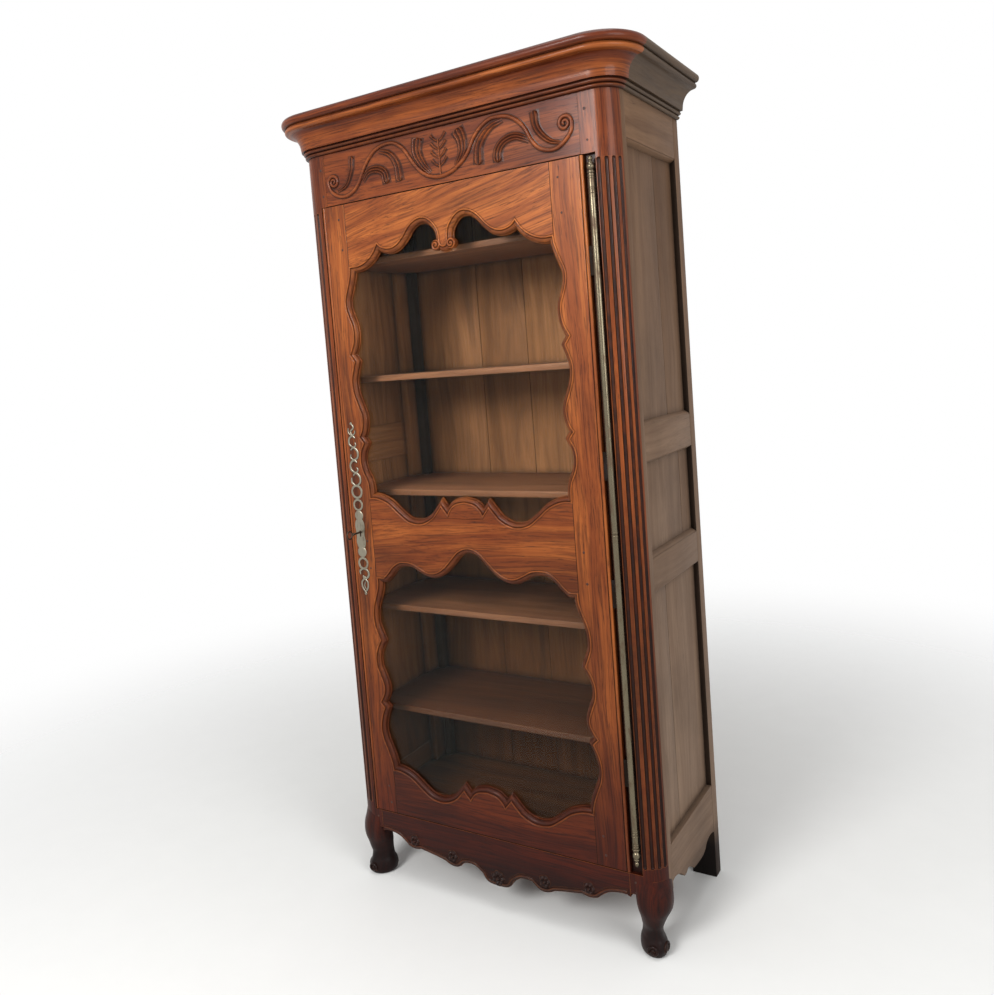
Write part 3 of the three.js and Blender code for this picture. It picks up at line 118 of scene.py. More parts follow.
CROWN_SHARES = {
    "upper": [
        (1, 0, 1), (0.906, 0), (0.82, 0.09), (0.74, 0.28), (0.68, 0.55, 1), (0.63, 0.41),
        (0.55, 0.35), (0.479, 0.41), (0.409, 0.59), (0.347, 0.81), (0.28, 0.95), (0.203, 1),
        (0.138, 0.94), (0.083, 0.79), (0.045, 0.61), (0.03, 0.42), (0.03, 0.27), (0.018, 0.19),
        (0, 0.17, 1),
    ],
    "lower": [
        (1, 0, 1), (0.922, 0, 1), (0.876, 0.13), (0.82, 0.32), (0.743, 0.475), (0.664, 0.505),
        (0.584, 0.47), (0.507, 0.35), (0.421, 0.24), (0.35, 0.26), (0.27, 0.4), (0.19, 0.64),
        (0.114, 0.87), (0.043, 0.98), (0, 1, 1),
    ],
}

# Cornice from the bottom up, in shares of its overhang and height, with 1 at each arris
CORNICE_SHARES = [
    (0.04, 0, 1), (0.105, 0.02), (0.125, 0.055), (0.07, 0.095, 1), (0.15, 0.108), (0.185, 0.14),
    (0.15, 0.19, 1), (0.26, 0.195, 1), (0.275, 0.25), (0.3, 0.36), (0.36, 0.46), (0.46, 0.55),
    (0.62, 0.625), (0.8, 0.65, 1), (0.86, 0.672), (0.885, 0.71), (0.87, 0.75), (0.83, 0.785, 1),
    (0.88, 0.79), (0.96, 0.815), (1, 0.875), (0.985, 0.935), (0.93, 0.98), (0.87, 1, 1),
]
CORNICE_BACK_SHARE = 0.55
# How dark the cornice's front is at shares of its height: bands of painted shade and highlight
CORNICE_SHADING = [
    (0, 2.2), (0.2, 1.8), (0.22, 0.1), (0.45, 0.4), (0.63, 1.1), (0.65, -0.8), (0.78, 0),
    (0.8, 1.6), (0.88, 1), (1, 2.2),
]

# Legs: height, reach beyond the side and the front, width, depth, roundness of the corners and
# how far the section is drawn in along its diagonal, all as shares of the leg's sizes
LEG_SHARES = [
    (0, -0.23, -0.05, 0.58, 0.57, 1, 0.3), (0.015, -0.18, 0, 0.68, 0.67, 1, 0.3),
    (0.05, -0.13, 0.06, 0.77, 0.77, 1, 0.3), (0.11, -0.1, 0.08, 0.81, 0.82, 1, 0.3),
    (0.18, -0.14, 0.04, 0.76, 0.76, 1, 0.3), (0.25, -0.215, -0.02, 0.64, 0.64, 1, 0.32),
    (0.325, -0.24, -0.05, 0.6, 0.6, 1, 0.32), (0.41, -0.18, 0, 0.68, 0.68, 0.95, 0.24),
    (0.5, -0.085, 0.04, 0.82, 0.8, 0.85, 0.12), (0.6, 0.037, 0.07, 1, 0.86, 0.7, 0),
    (0.7, 0.073, 0.08, 1.045, 0.85, 0.55, 0), (0.8, 0.06, 0.06, 1.03, 0.82, 0.45, 0),
    (0.9, 0.018, 0.018, 0.98, 0.78, 0.3, 0), (1, -0.018, -0.018, 0.95, 0.74, 0.2, 0),
]
# The toe's scrolls by the axis that they face: reach beyond the side and the front, and height
TOE_SHARES = {"x": (-0.145, -0.35, 0.11), "y": (-0.44, 0.055, 0.11)}

# Lower edges of the apron, half of it from the middle outwards, and of the sides
APRON_SHARES = [
    (0, 0), (0.042, 0), (0.085, 0.03), (0.11, 0.095), (0.124, 0.17), (0.146, 0.22, 1),
    (0.187, 0.29), (0.241, 0.305), (0.28, 0.275), (0.308, 0.2, 1), (0.341, 0.155), (0.378, 0.15),
    (0.413, 0.175), (0.447, 0.225, 1), (0.517, 0.265), (0.602, 0.305), (0.654, 0.33, 1),
    (0.69, 0.305), (0.73, 0.305), (0.766, 0.335, 1), (0.808, 0.435), (0.851, 0.51), (0.91, 0.55),
    (0.965, 0.56), (1, 0.53, 1),
]
SIDE_APRON_SHARES = [
    (0, 0.97), (0.05, 1), (0.12, 0.92), (0.19, 0.74), (0.25, 0.46, 1), (0.29, 0.44),
    (0.335, 0.56, 1), (0.4, 0.42), (0.47, 0.16), (0.53, 0.1, 1), (0.62, 0.06), (0.7, 0.06),
    (0.76, 0.16, 1), (0.8, 0.34), (0.87, 0.44), (0.94, 0.42), (1, 0.3, 1),
]
# The apron's rosettes: shares of its half and its height, size, relief and number of petals
ROSETTES = [(0.374, 0.37, 1, 0.0088, 5), (0.707, 0.48, 1, 0.0088, 5), (0, 0.16, 1.25, 0.0092, 7)]

# The frieze's vine from its left scroll to its right one, in shares of the board's length and
# height, measured from the middle of its length
VINE_SHARES = [
    (-0.483, 0.44), (-0.475, 0.3), (-0.45, 0.175), (-0.413, 0.126), (-0.376, 0.182),
    (-0.347, 0.322), (-0.326, 0.51), (-0.301, 0.697), (-0.268, 0.85), (-0.226, 0.92),
    (-0.184, 0.906), (-0.151, 0.79), (-0.127, 0.615), (-0.106, 0.44), (-0.077, 0.266),
    (-0.044, 0.161), (-0.002, 0.124), (0.039, 0.168), (0.081, 0.3), (0.11, 0.462), (0.13, 0.65),
    (0.159, 0.811), (0.192, 0.907), (0.221, 0.923), (0.263, 0.881), (0.296, 0.768), (0.321, 0.601),
    (0.337, 0.417), (0.362, 0.252), (0.395, 0.175), (0.425, 0.182), (0.454, 0.277), (0.475, 0.417),
    (0.478, 0.556),
]

# Leaves of the frieze: middle line, in the vine's shares, then root and tip widths in shares of
# the height, and the number of ribs
LEAF_SHARES = [
    ([(-0.445, 0.25), (-0.405, 0.33), (-0.377, 0.6), (-0.371, 0.86)], 0.05, 0.13, 2),
    ([(0.444, 0.25), (0.4, 0.33), (0.36, 0.58), (0.352, 0.88)], 0.05, 0.15, 2),
    ([(-0.331, 0.35), (-0.3, 0.49), (-0.262, 0.5), (-0.232, 0.4), (-0.226, 0.2)], 0.1, 0.17, 3),
    ([(0.331, 0.42), (0.28, 0.53), (0.237, 0.47), (0.217, 0.33), (0.215, 0.15)], 0.1, 0.17, 3),
    ([(-0.25, 0.83), (-0.206, 0.73), (-0.178, 0.52), (-0.17, 0.19)], 0.07, 0.17, 2),
    ([(0.243, 0.85), (0.192, 0.76), (0.152, 0.52), (0.143, 0.18)], 0.07, 0.19, 2),
    ([(-0.044, 0.22), (-0.074, 0.42), (-0.092, 0.66), (-0.085, 0.9)], 0.08, 0.24, 3),
    ([(0.058, 0.25), (0.084, 0.46), (0.086, 0.68), (0.07, 0.89)], 0.08, 0.24, 3),
]

# Escutcheon, in shares of its width from the keyhole: straps as middle lines and widths, and
# solid knobs and rings as height, outer radius and hole
PLATE_KNOB_SHARES = [
    (-5.35, 0.13, 0.04), (-4, 0.17, 0), (-2.72, 0.56, 0.36), (-1.72, 0.47, 0), (1.44, 0.44, 0),
    (2.36, 0.53, 0.35), (3.5, 0.62, 0.42), (5.12, 0.13, 0), (6.22, 0.13, 0), (7.3, 0.13, 0),
    (8.3, 0.13, 0), (9.35, 0.12, 0),
]
PLATE_STRAP_SHARES = [
    ([(0.1, -3.2), (0.44, -3.4), (0.48, -3.75), (0.2, -4), (-0.16, -3.85)], 0.2),
    ([(-0.1, -3.2), (-0.42, -3.4), (-0.4, -3.7)], 0.17),
    ([(0, -4.05), (-0.3, -4.35), (-0.3, -4.8), (0, -5.25)], 0.17),
    ([(0, -4.05), (0.3, -4.35), (0.3, -4.8), (0, -5.25)], 0.17),
    ([(0.08, -4.3), (-0.06, -4.7), (0.1, -5)], 0.1),
    ([(0.1, 4.02), (0.46, 4.32), (0.46, 4.78), (0.05, 5.12), (-0.22, 4.9)], 0.19),
    ([(-0.1, 4.02), (-0.44, 4.3), (-0.44, 4.72)], 0.17),
    ([(0.02, 5.12), (-0.4, 5.4), (-0.44, 5.88), (-0.02, 6.22), (0.3, 6.02)], 0.19),
    ([(0.02, 5.12), (0.32, 5.34), (0.24, 5.6)], 0.13),
    ([(-0.02, 6.22), (0.4, 6.45), (0.44, 6.95), (0.03, 7.3), (-0.26, 7.1)], 0.19),
    ([(-0.02, 6.22), (-0.34, 6.45), (-0.28, 6.72)], 0.13),
    ([(0.03, 7.3), (-0.36, 7.58), (-0.34, 8.05), (0.03, 8.3), (0.3, 8.1)], 0.17),
    ([(0.03, 7.3), (0.32, 7.5), (0.26, 7.74)], 0.12),
    ([(0.05, 8.3), (-0.14, 8.65), (0.22, 9), (0, 9.35)], 0.15),
    ([(0, 8.3), (-0.34, 8.55), (-0.36, 8.95)], 0.12),
    ([(0, 8.35), (0.3, 8.5), (0.36, 8.75)], 0.11),
]
SHIELD_SHARES = [
    (-0.5, -0.85), (-0.3, -1.4), (0.3, -1.4), (0.5, -0.85), (0.42, -0.2), (0.5, 0.7), (0.25, 1.15),
    (-0.25, 1.15), (-0.5, 0.7), (-0.42, -0.2),
]


def srgb(red, green, blue):
    """The linear colour of a display colour given from 0 to 255."""
    parts = [value / 255 for value in (red, green, blue)]
    return tuple(p / 12.92 if p <= 0.04045 else ((p + 0.055) / 1.055) ** 2.4 for p in parts)


def amount(name, description, default, unit="NONE"):
    return FloatProperty(name=name, description=description, default=default, unit=unit, min=0)


def metres(name, description, default):
    return amount(name, description, default, "LENGTH")


def swatch(name, description, *display):
    return FloatVectorProperty(
        name=name, description=description, default=srgb(*display), subtype="COLOR", size=3,
        min=0, max=1,
    )


class CarcassSizes(PropertyGroup):
    """Sizes of the posts, the cornice and the boards"""
    corner: metres("Corner radius", "Radius of the rounded front corners", 0.058)
    arris: metres("Arris", "How far the edges of boards are eased", 0.0008)
    flute: metres("Flute radius", "Radius of the flutes on the posts", 0.005)
    flute_foot: metres("Flute foot", "Height of the flutes' foot over the apron", 0.018)
    flute_head: metres("Flute head", "Gap from the flutes' head to the frieze", 0.013)
    leg_height: metres("Leg height", "Height of the shaped leg", 0.2)
    leg_width: metres("Leg width", "Width that the leg's shares follow", 0.082)
    toe: metres("Toe scroll", "Outer radius of the scrolls on the toes", 0.0145)
    ledge: metres("Cornice ledge", "How far the cornice runs in over the posts", 0.014)
    ledge_height: metres("Ledge height", "Height of the cornice's inner ledge", 0.02)
    recess: metres("Hinge recess", "Depth of the recess that the hinge lies in", 0.014)
    recess_margin: metres("Recess margin", "From the hinge's axis to the recess's edge", 0.013)
    score: metres("Score depth", "Depth of the narrow grooves in the side boards", 0.0016)


class DoorSizes(PropertyGroup):
    """Sizes of the door's joinery"""
    lock_stile: metres("Lock stile", "Width of the stile with the lock", 0.0795)
    hinge_stile: metres("Hinge stile", "Width of the stile with the hinge", 0.091)
    mould: metres("Moulding width", "Width of the moulding round each opening", 0.018)
    mould_depth: metres("Moulding depth", "Depth of the moulding", 0.014)
    scallop: metres("Scallop", "Depth of the scallops on the stiles", 0.034)
    upper_rise: metres("Upper crown", "Rise of the upper opening's crown", 0.102)
    upper_dip: metres("Upper dip", "Dip of the upper opening's sill", 0.072)
    lower_rise: metres("Lower crown", "Rise of the lower opening's crown", 0.101)
    lower_dip: metres("Lower dip", "Dip of the lower opening's sill", 0.066)
    glass_lap: metres("Glass lap", "How far the glass runs behind the moulding", 0.009)
    fit: metres("Joint gap", "Gap at each shoulder of a joint", 0.00022)
    arris: metres("Arris", "How far the door's edges are eased", 0.0009)
    step: metres("Outline step", "Length of a step along the shaped outlines", 0.0045)
    volute: metres("Volute radius", "Radius of the crown's volutes", 0.014)
    volute_spread: metres("Volute spread", "From the middle to each volute's eye", 0.024)
    volute_drop: metres("Volute drop", "From the crown's top to the volutes' eyes", 0.082)


class CarvingSizes(PropertyGroup):
    """Sizes of the carving on the frieze, the apron and the legs"""
    vine: metres("Vine radius", "Radius of the frieze's vine", 0.005)
    leaf_proud: metres("Leaf relief", "How far the leaves stand proud", 0.0066)
    scroll: metres("Scroll radius", "Outer radius of the vine's scrolls", 0.019)
    scroll_turns: amount("Scroll turns", "Turns of each scroll", 1.7)
    rosette: metres("Rosette radius", "Radius of the apron's rosettes", 0.019)
    edge_bead: metres("Edge bead", "Radius of the bead along the apron's edge", 0.0036)
    edge_inset: metres("Edge inset", "From the apron's edge to its bead", 0.0085)


class IronSizes(PropertyGroup):
    """Sizes of the hinge, the escutcheon and the key"""
    barrel: metres("Barrel radius", "Radius of the hinge's barrel", 0.008)
    wing: metres("Wing thickness", "Thickness of the hinge's wings", 0.003)
    plate: metres("Plate width", "Width of the escutcheon", 0.034)
    plate_thick: metres("Plate thickness", "Thickness of the escutcheon", 0.0015)
    wax: metres("Wax and shadow rim", "Width of the dark wax round the escutcheon", 0.0013)
    # The rim round the escutcheon is dark wax and painted shadow
    keyhole: metres("Keyhole radius", "Radius of the keyhole", 0.0045)
    stem: metres("Stem radius", "Radius of the key's stem", 0.003)
    bow: metres("Bow radius", "Outer radius of the key's bow", 0.013)
    peg: metres("Peg radius", "Radius of the pegs in the joints", 0.0035)
    nail: metres("Nail radius", "Radius of the nail heads on the back", 0.0028)


class FinishColours(PropertyGroup):
    """Colours of the finishes"""
    front_light: swatch("Front, light", "Pale streaks of the waxed front", 188, 108, 50)
    front_middle: swatch("Front, middle", "Main colour of the waxed front", 134, 68, 30)
    front_dark: swatch("Front, dark", "Dark streaks and wax in the hollows", 54, 22, 9)
    side_light: swatch("Side, light", "Pale streaks of the dry sides", 142, 118, 98)
    side_dark: swatch("Side, dark", "Dark streaks of the dry sides", 104, 82, 66)
    inner_light: swatch("Inside, light", "Pale streaks of the inner boards", 196, 134, 86)
    inner_dark: swatch("Inside, dark", "Dark streaks of the inner boards", 122, 80, 50)
    steel: swatch("Steel", "Bright steel of the hinge", 112, 104, 86)
    plate: swatch("Plate", "Pale steel of the escutcheon", 146, 140, 124)
    iron: swatch("Iron", "Dark iron of the lock and the key", 70, 62, 54)
    rust: swatch("Rust", "Brown bloom on the iron and steel", 72, 46, 28)
    glass: swatch("Glass", "Tint of the old panes", 232, 240, 236)
    floor: swatch("Floor", "Colour of the floor", 236, 236, 234)


class StageSizes(PropertyGroup):
    """Sizes and levels of the stage"""
    floor: metres("Floor radius", "Radius of the floor", 7)
    key_light: amount("Key light", "Key light's power", 140, "POWER")
    fill_light: amount("Fill light", "Fill light's power", 62, "POWER")
    top_light: amount("Top light", "Top light's power", 60, "POWER")
    sky: amount("Sky", "Level of the light from all round", 0.42)


def sizes(name):
    """The scene's group of sizes of that name."""
    return getattr(bpy.context.scene, "bonnetiere_" + name)


# Curves

def bend(p0, p1, p2, p3, t):
    """A point between p1 and p2 on a centripetal Catmull-Rom curve."""
    pairs = ((p0, p1), (p1, p2), (p2, p3))
    d0, d1, d2 = (max(np.linalg.norm(b - a) ** 0.5, 1e-6) for a, b in pairs)
    t1 = ((p1 - p0) / d0 - (p2 - p0) / (d0 + d1) + (p2 - p1) / d1) * d1
    t2 = ((p2 - p1) / d1 - (p3 - p1) / (d1 + d2) + (p3 - p2) / d2) * d1
    cubic = 2 * p1 - 2 * p2 + t1 + t2
    square = -3 * p1 + 3 * p2 - 2 * t1 - t2
    return p1 + t1 * t + square * t ** 2 + cubic * t ** 3


def curve_through(points, samples=16):
    """Closely spaced points on a smooth curve through a few."""
    places = [np.array(p, float) for p in points]
    places = [2 * places[0] - places[1], *places, 2 * places[-1] - places[-2]]
    out = [
        bend(*places[i - 1:i + 3], k / samples)
        for i in range(1, len(places) - 2) for k in range(samples)
    ]
    return np.array([*out, places[-2]])


def even(points, count):
    """The same line, walked in steps of equal length."""
    lengths = np.concatenate([[0], np.cumsum(np.linalg.norm(np.diff(points, axis=0), axis=1))])
    along = np.linspace(0, lengths[-1], count + 1)
    return np.stack([np.interp(along, lengths, column) for column in points.T], 1)


def shaped_line(points, step):
    """A line of smooth runs, parted where a point's third entry is 1."""
    runs = [[points[0][:2]]]
    for point in points[1:]:
        runs[-1].append(point[:2])
        if len(point) > 2 and point is not points[-1]:
            runs.append([point[:2]])
    out = []
    for run in runs:
        fine = curve_through(run)
        length = float(np.linalg.norm(np.diff(fine, axis=0), axis=1).sum())
        out.extend(even(fine, max(1, round(length / step)))[:-1])
    return np.array([*out, np.array(points[-1][:2], float)])


def arc(cx, cy, radius, start, end, steps):
    angles = np.radians(np.linspace(start, end, steps + 1))
    return [(cx + radius * cos(a), cy + radius * sin(a)) for a in angles]


def circle(count):
    """The cosine and the sine of evenly spaced angles round a circle."""
    angles = [2 * pi * k / count for k in range(count)]
    return [(cos(a), sin(a)) for a in angles]


def headings(path):
    out = []
    for before, after in zip([path[0], *path[:-1]], [*path[1:], path[-1]]):
        ahead = after - before
        out.append(ahead / max(np.linalg.norm(ahead), 1e-9))
    return out


def cross(a, b):
    return a[..., 0] * b[..., 1] - a[..., 1] * b[..., 0]


def legs_of(ring):
    """The step that leads to each point of a ring and the one that leaves it."""
    return ring - np.roll(ring, 1, 0), np.roll(ring, -1, 0) - ring


def turns_of(ring):
    before, after = legs_of(ring)
    return np.arctan2(cross(before, after), (before * after).sum(1))


def inward(ring, longest=1.9):
    """For each point of a counterclockwise ring, the vector that mitres it in by one unit."""
    sides = []
    for leg in legs_of(ring):
        leg /= np.maximum(np.linalg.norm(leg, axis=1, keepdims=True), 1e-9)
        sides.append(np.stack([-leg[:, 1], leg[:, 0]], 1))
    a, b = sides
    mitre = (a + b) / np.maximum(1 + (a * b).sum(1, keepdims=True), 1e-3)
    size = np.linalg.norm(mitre, axis=1, keepdims=True)
    return np.where(size > longest, mitre / np.maximum(size, 1e-9) * longest, mitre)


def pushed_in(ring, push, offset, reach=0.045):
    """The ring moved in by an offset, with no point past the bisector of a sharp corner."""
    moved = ring + push * offset
    for corner in np.nonzero(np.sign(offset) * turns_of(ring) > 0.3)[0]:
        for direction in (-1, 1):
            side = None
            for k in range(1, 24):
                i = (corner + direction * k) % len(ring)
                if np.linalg.norm(ring[i] - ring[corner]) > reach:
                    break
                side = side or np.sign(cross(push[corner], ring[i] - ring[corner]))
                if cross(push[corner], moved[i] - ring[corner]) * side <= 0:
                    moved[i] = moved[corner]
    return moved


# Meshes

def stand(place, level, axis):
    """A point of a flat outline at a level along the axis that the outline faces."""
    a, b = float(place[0]), float(place[1])
    return {"x": (level, a, b), "y": (a, level, b), "z": (a, b, level)}[axis]


def band(here, there, count):
    """The faces between two rings of points whose numbers start here and there."""
    sides = [(k, (k + 1) % count) for k in range(count)]
    return [(here + k, here + side, there + side, there + k) for k, side in sides]


def fan(tip, start, count):
    return [(tip, start + (k + 1) % count, start + k) for k in range(count)]


class Shape:
    """Closed shells gathered before they become one mesh."""

    def __init__(self):
        self.points, self.faces, self.relief, self.grain = [], [], [], []

    def shell(self, points, faces, relief=0, grain=None):
        start, count = len(self.points), len(points)
        self.points += [tuple(map(float, p)) for p in points]
        self.faces += [tuple(start + i for i in face) for face in faces]
        self.relief += map(float, relief if hasattr(relief, "__len__") else [relief] * count)
        self.grain += grain or [(0, 0, 0)] * count

    def add(self, other):
        self.shell(other.points, other.faces, other.relief, other.grain)

    def mirrored(self):
        """The same shells on the other side of the cabinet's middle."""
        other = Shape()
        points = [(-x, y, z) for x, y, z in self.points]
        other.shell(points, [face[::-1] for face in self.faces], self.relief, self.grain)
        return other

    def loft(self, rings, relief=(0,), section=(), closed=False, grain=None, hole=()):
        """A skin over rings of points; an open one is capped with the section's outline.

        The relief is given for each point of a ring, or for each point of all rings.
        """
        rings = [list(ring) for ring in rings]
        count = len(rings[0])
        starts = [i * count for i in range(len(rings))]
        faces = []
        for here, there in zip(starts, [*starts[1:], 0] if closed else starts[1:]):
            faces += band(here, there, count)
        points = sum(rings, [])
        levels = list(relief) * (len(points) // len(relief))
        if not closed:
            outlines = [outline for outline in (section, hole) if len(outline)]
            loops = [[Vector((*p[:2], 0)) for p in outline] for outline in outlines]
            ends = [list(range(count)), list(range(starts[-1], len(points)))]
            if len(hole):
                start, size = len(points), len(hole)
                for ring in (rings[0], rings[-1]):
                    points += [(p[0], ring[0][1], p[1]) for p in hole]
                # Painted shade inside the hole
                levels += [-1] * 2 * size
                ends[0] += range(start, start + size)
                ends[1] += range(start + size, start + 2 * size)
                faces += band(start + size, start, size)
            for corners in tessellate_polygon(loops):
                faces.append(tuple(ends[0][i] for i in corners))
                faces.append(tuple(ends[1][i] for i in corners[::-1]))
        self.shell(points, faces, levels, grain and sum(grain, []))

    def slab(self, outline, front, back, ease_front=0, ease_back=0, axis="y", edge=0.4, hole=()):
        """A board of a counterclockwise outline, with its arrises eased; edge is their relief."""
        ring = np.array(outline, float)
        push = inward(ring)
        inner = copysign(1, back - front)
        levels = [(0, back, 0)]
        if ease_back:
            levels = [(ease_back, back, 0), (0, back - inner * ease_back, 0)]
        # An edge above zero paints a highlight, with wear, on the front arrises; below zero a dark
        # joint
        if ease_front:
            levels += [
                (0, front + inner * ease_front, edge),
                (ease_front * 0.3, front + inner * ease_front * 0.3, edge),
                (ease_front, front, edge * 0.5), (ease_front * 1.6, front, 0),
            ]
        else:
            levels.append((0, front, 0))
        rings, relief = [], []
        for offset, level, height in levels:
            flat = pushed_in(ring, push, offset, reach=4 * offset) if offset else ring
            rings.append([stand(p, level, axis) for p in flat])
            relief += [height] * len(ring)
        self.loft(rings, relief, ring, hole=hole)

    def tube(self, path, radii, sides=12, flat=1, proud_axis=1, relief=0.4):
        """A round or flattened rod along a path, closed by a point at each end."""
        path = np.array(path, float)
        points, faces, levels = [], [], []
        for place, ahead, radius in zip(path, headings(path), np.broadcast_to(radii, len(path))):
            across = np.cross(ahead, np.eye(3)[proud_axis])
            across /= max(np.linalg.norm(across), 1e-9)
            up = np.cross(across, ahead)
            for cosine, sine in circle(sides):
                offset = across * cosine + up * sine * flat
                points.append(place + offset * radius)
                # Painted highlight on the rod's front half and painted shade on its sides
                levels.append(relief * max(0, -offset[proud_axis]) * 2 - 0.4)
        last = len(points) - sides
        for start in range(0, last, sides):
            faces += band(start, start + sides, sides)
        for start, tip in ((0, path[0]), (last, path[-1])):
            faces += fan(len(points), start, sides)
            points.append(tip)
            levels.append(0)
        self.shell(points, faces, levels)

    def turned(self, x, y, profile, sides=48, axis="z", relief=(0,)):
        """A solid turned about a line along an axis; the profile holds radius and level."""
        self.loft([
            [stand((x + r * c, y + r * s), level, axis) for r, level in profile]
            for c, s in circle(sides)
        ], relief, closed=True)

    def block(self, low, high):
        x, y, z = zip(low, high)
        corners = [(a, b, c) for a in x for b in y for c in z]
        self.shell(corners, [
            (0, 1, 3, 2), (4, 6, 7, 5), (0, 4, 5, 1), (2, 3, 7, 6), (0, 2, 6, 4), (1, 5, 7, 3),
        ])


def box_shape(low, high):
    shape = Shape()
    shape.block(low, high)
    return shape


def shape_of(points, faces):
    shape = Shape()
    shape.shell([v.co for v in points], [tuple(face) for face in faces])
    return shape


def linked(name, data):
    made = bpy.data.objects.new(name, data)
    bpy.context.scene.collection.objects.link(made)
    return made


# Edges past this angle are eased, and those past the other, in degrees, are shaded sharp
EASED_ANGLE = radians(35)
SMOOTH = 38


def mesh_of(name, shape, ease=0, smooth=SMOOTH):
    """One mesh of a shape's shells, facing outwards, with its attributes."""
    mesh = bpy.data.meshes.new(name)
    mesh.from_pydata(shape.points, [], shape.faces)
    # The relief attribute gives painted shade below zero and painted highlight above zero, with wax
    # and wear
    mesh.attributes.new("relief", "FLOAT", "POINT").data.foreach_set("value", shape.relief)
    grain = mesh.attributes.new("grain", "FLOAT_VECTOR", "POINT")
    grain.data.foreach_set("vector", np.ravel(shape.grain))
    made = bmesh.new()
    made.from_mesh(mesh)
    bmesh.ops.remove_doubles(made, verts=made.verts, dist=2e-6)
    bmesh.ops.dissolve_degenerate(made, edges=made.edges, dist=1e-7)
    bmesh.ops.recalc_face_normals(made, faces=made.faces)
    if ease:
        sharp = [
            e for e in made.edges
            if len(e.link_faces) == 2 and e.calc_face_angle(0) > EASED_ANGLE
        ]
        bmesh.ops.bevel(
            made, geom=sharp, offset=ease, offset_type="OFFSET", segments=2, profile=0.5,
            affect="EDGES", clamp_overlap=True,
        )
    made.to_mesh(mesh)
    made.free()
    mesh.shade_smooth()
    mesh.set_sharp_from_angle(angle=radians(smooth))
    return mesh


# Axes across a board's grain, through it and along it
GRAIN_TURNS = {"up": (0, 1, 2), "level": (2, 1, 0), "deep": (2, 0, 1)}


def lay_grain(mesh, turn, name, lean=0, tone=None):
    """Coordinates in the board's own wood, with the third along the grain."""
    chance = random.Random(name)
    shift = [chance.uniform(-4, 4) for _ in range(3)]
    tilt = chance.uniform(-0.02, 0.02) - lean
    values = []
    for vertex in mesh.vertices:
        across, deep, along = (vertex.co[axis] for axis in GRAIN_TURNS[turn])
        values.append((across + tilt * along + shift[0], deep + shift[1], along + shift[2]))
    mesh.attributes["grain"].data.foreach_set("vector", np.ravel(values))
    set_tones(mesh, [chance.uniform(-1, 1) if tone is None else tone] * len(mesh.vertices))


def set_tones(mesh, tones):
    mesh.attributes.new("tone", "FLOAT", "POINT").data.foreach_set("value", tones)


def piece(
    name, shape, finish, body="carcass", stands_for=(), grain="up", lean=0, tone=None, **look,
):
    """A finished object of a shape that rides on a body and may stand for nodes."""
    mesh = mesh_of(name, shape, **look)
    if grain:
        lay_grain(mesh, grain, name, lean, tone)
    mesh.materials.append(bpy.data.materials[finish])
    return settle(linked(name, mesh), body, stands_for)


def settle(made, body, stands_for=()):
    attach(made, body)
    if stands_for:
        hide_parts(*stands_for)
    return made


def board_from(node, finish, grain, body="carcass", ease=None, cutters=(), **look):
    """A board of the frame with its arrises eased and shapes cut out of it."""
    made = bmesh.new()
    made.from_mesh(frame["nodes"][node].data)
    bmesh.ops.remove_doubles(made, verts=made.verts, dist=1e-5)
    bmesh.ops.dissolve_limit(made, angle_limit=radians(0.6), verts=made.verts, edges=made.edges)
    made.verts.index_update()
    shape = shape_of(made.verts, [[v.index for v in face.verts] for face in made.faces])
    made.free()
    if cutters:
        shape = carved(shape, cutters)
    width = sizes("carcass").arris if ease is None else ease
    return piece(node + "_board", shape, finish, body, (node,), grain, ease=width, **look)


def refinished(made, finish, chosen):
    """Gives a second finish to the faces that a test picks out."""
    made.data.materials.append(bpy.data.materials[finish])
    for face in made.data.polygons:
        if chosen(face):
            face.material_index = 1


def lined(made):
    """Gives a side board's inner face the finish of the inside."""
    refinished(made, "Inner boards", lambda face: (
        face.normal.x * face.center.x < 0 and abs(face.normal.x) > 0.9
    ))


def dried(made):
    """Gives a post's outer face the finish of the sides."""
    refinished(made, "Dry side", lambda face: (
        abs(face.normal.x) > 0.95 and abs(face.center.x) > HALF_WIDTH - 0.0016
    ))


def carved(shape, cutters):
    """The shape with closed shapes cut out of it."""
    body, *tools = (linked("scratch", mesh_of("scratch", each)) for each in (shape, *cutters))
    for tool in tools:
        cut = body.modifiers.new("Cut", "BOOLEAN")
        cut.operation = "DIFFERENCE"
        cut.solver = "EXACT"
        cut.object = tool
    bake_modifiers(body)
    mesh = body.data
    out = shape_of(mesh.vertices, [face.vertices for face in mesh.polygons])
    out.relief = [item.value for item in mesh.attributes["relief"].data]
    for used in (body, *tools):
        bpy.data.meshes.remove(used.data)
    return out


def bake_modifiers(made):
    """Turns a piece with modifiers into a plain mesh."""
    graph = bpy.context.evaluated_depsgraph_get()
    mesh = bpy.data.meshes.new_from_object(
        made.evaluated_get(graph), preserve_all_data_layers=True, depsgraph=graph,
    )
    made.modifiers.clear()
    old = made.data
    made.data = mesh
    bpy.data.meshes.remove(old)
    mesh.set_sharp_from_angle(angle=radians(SMOOTH))


# Node trees

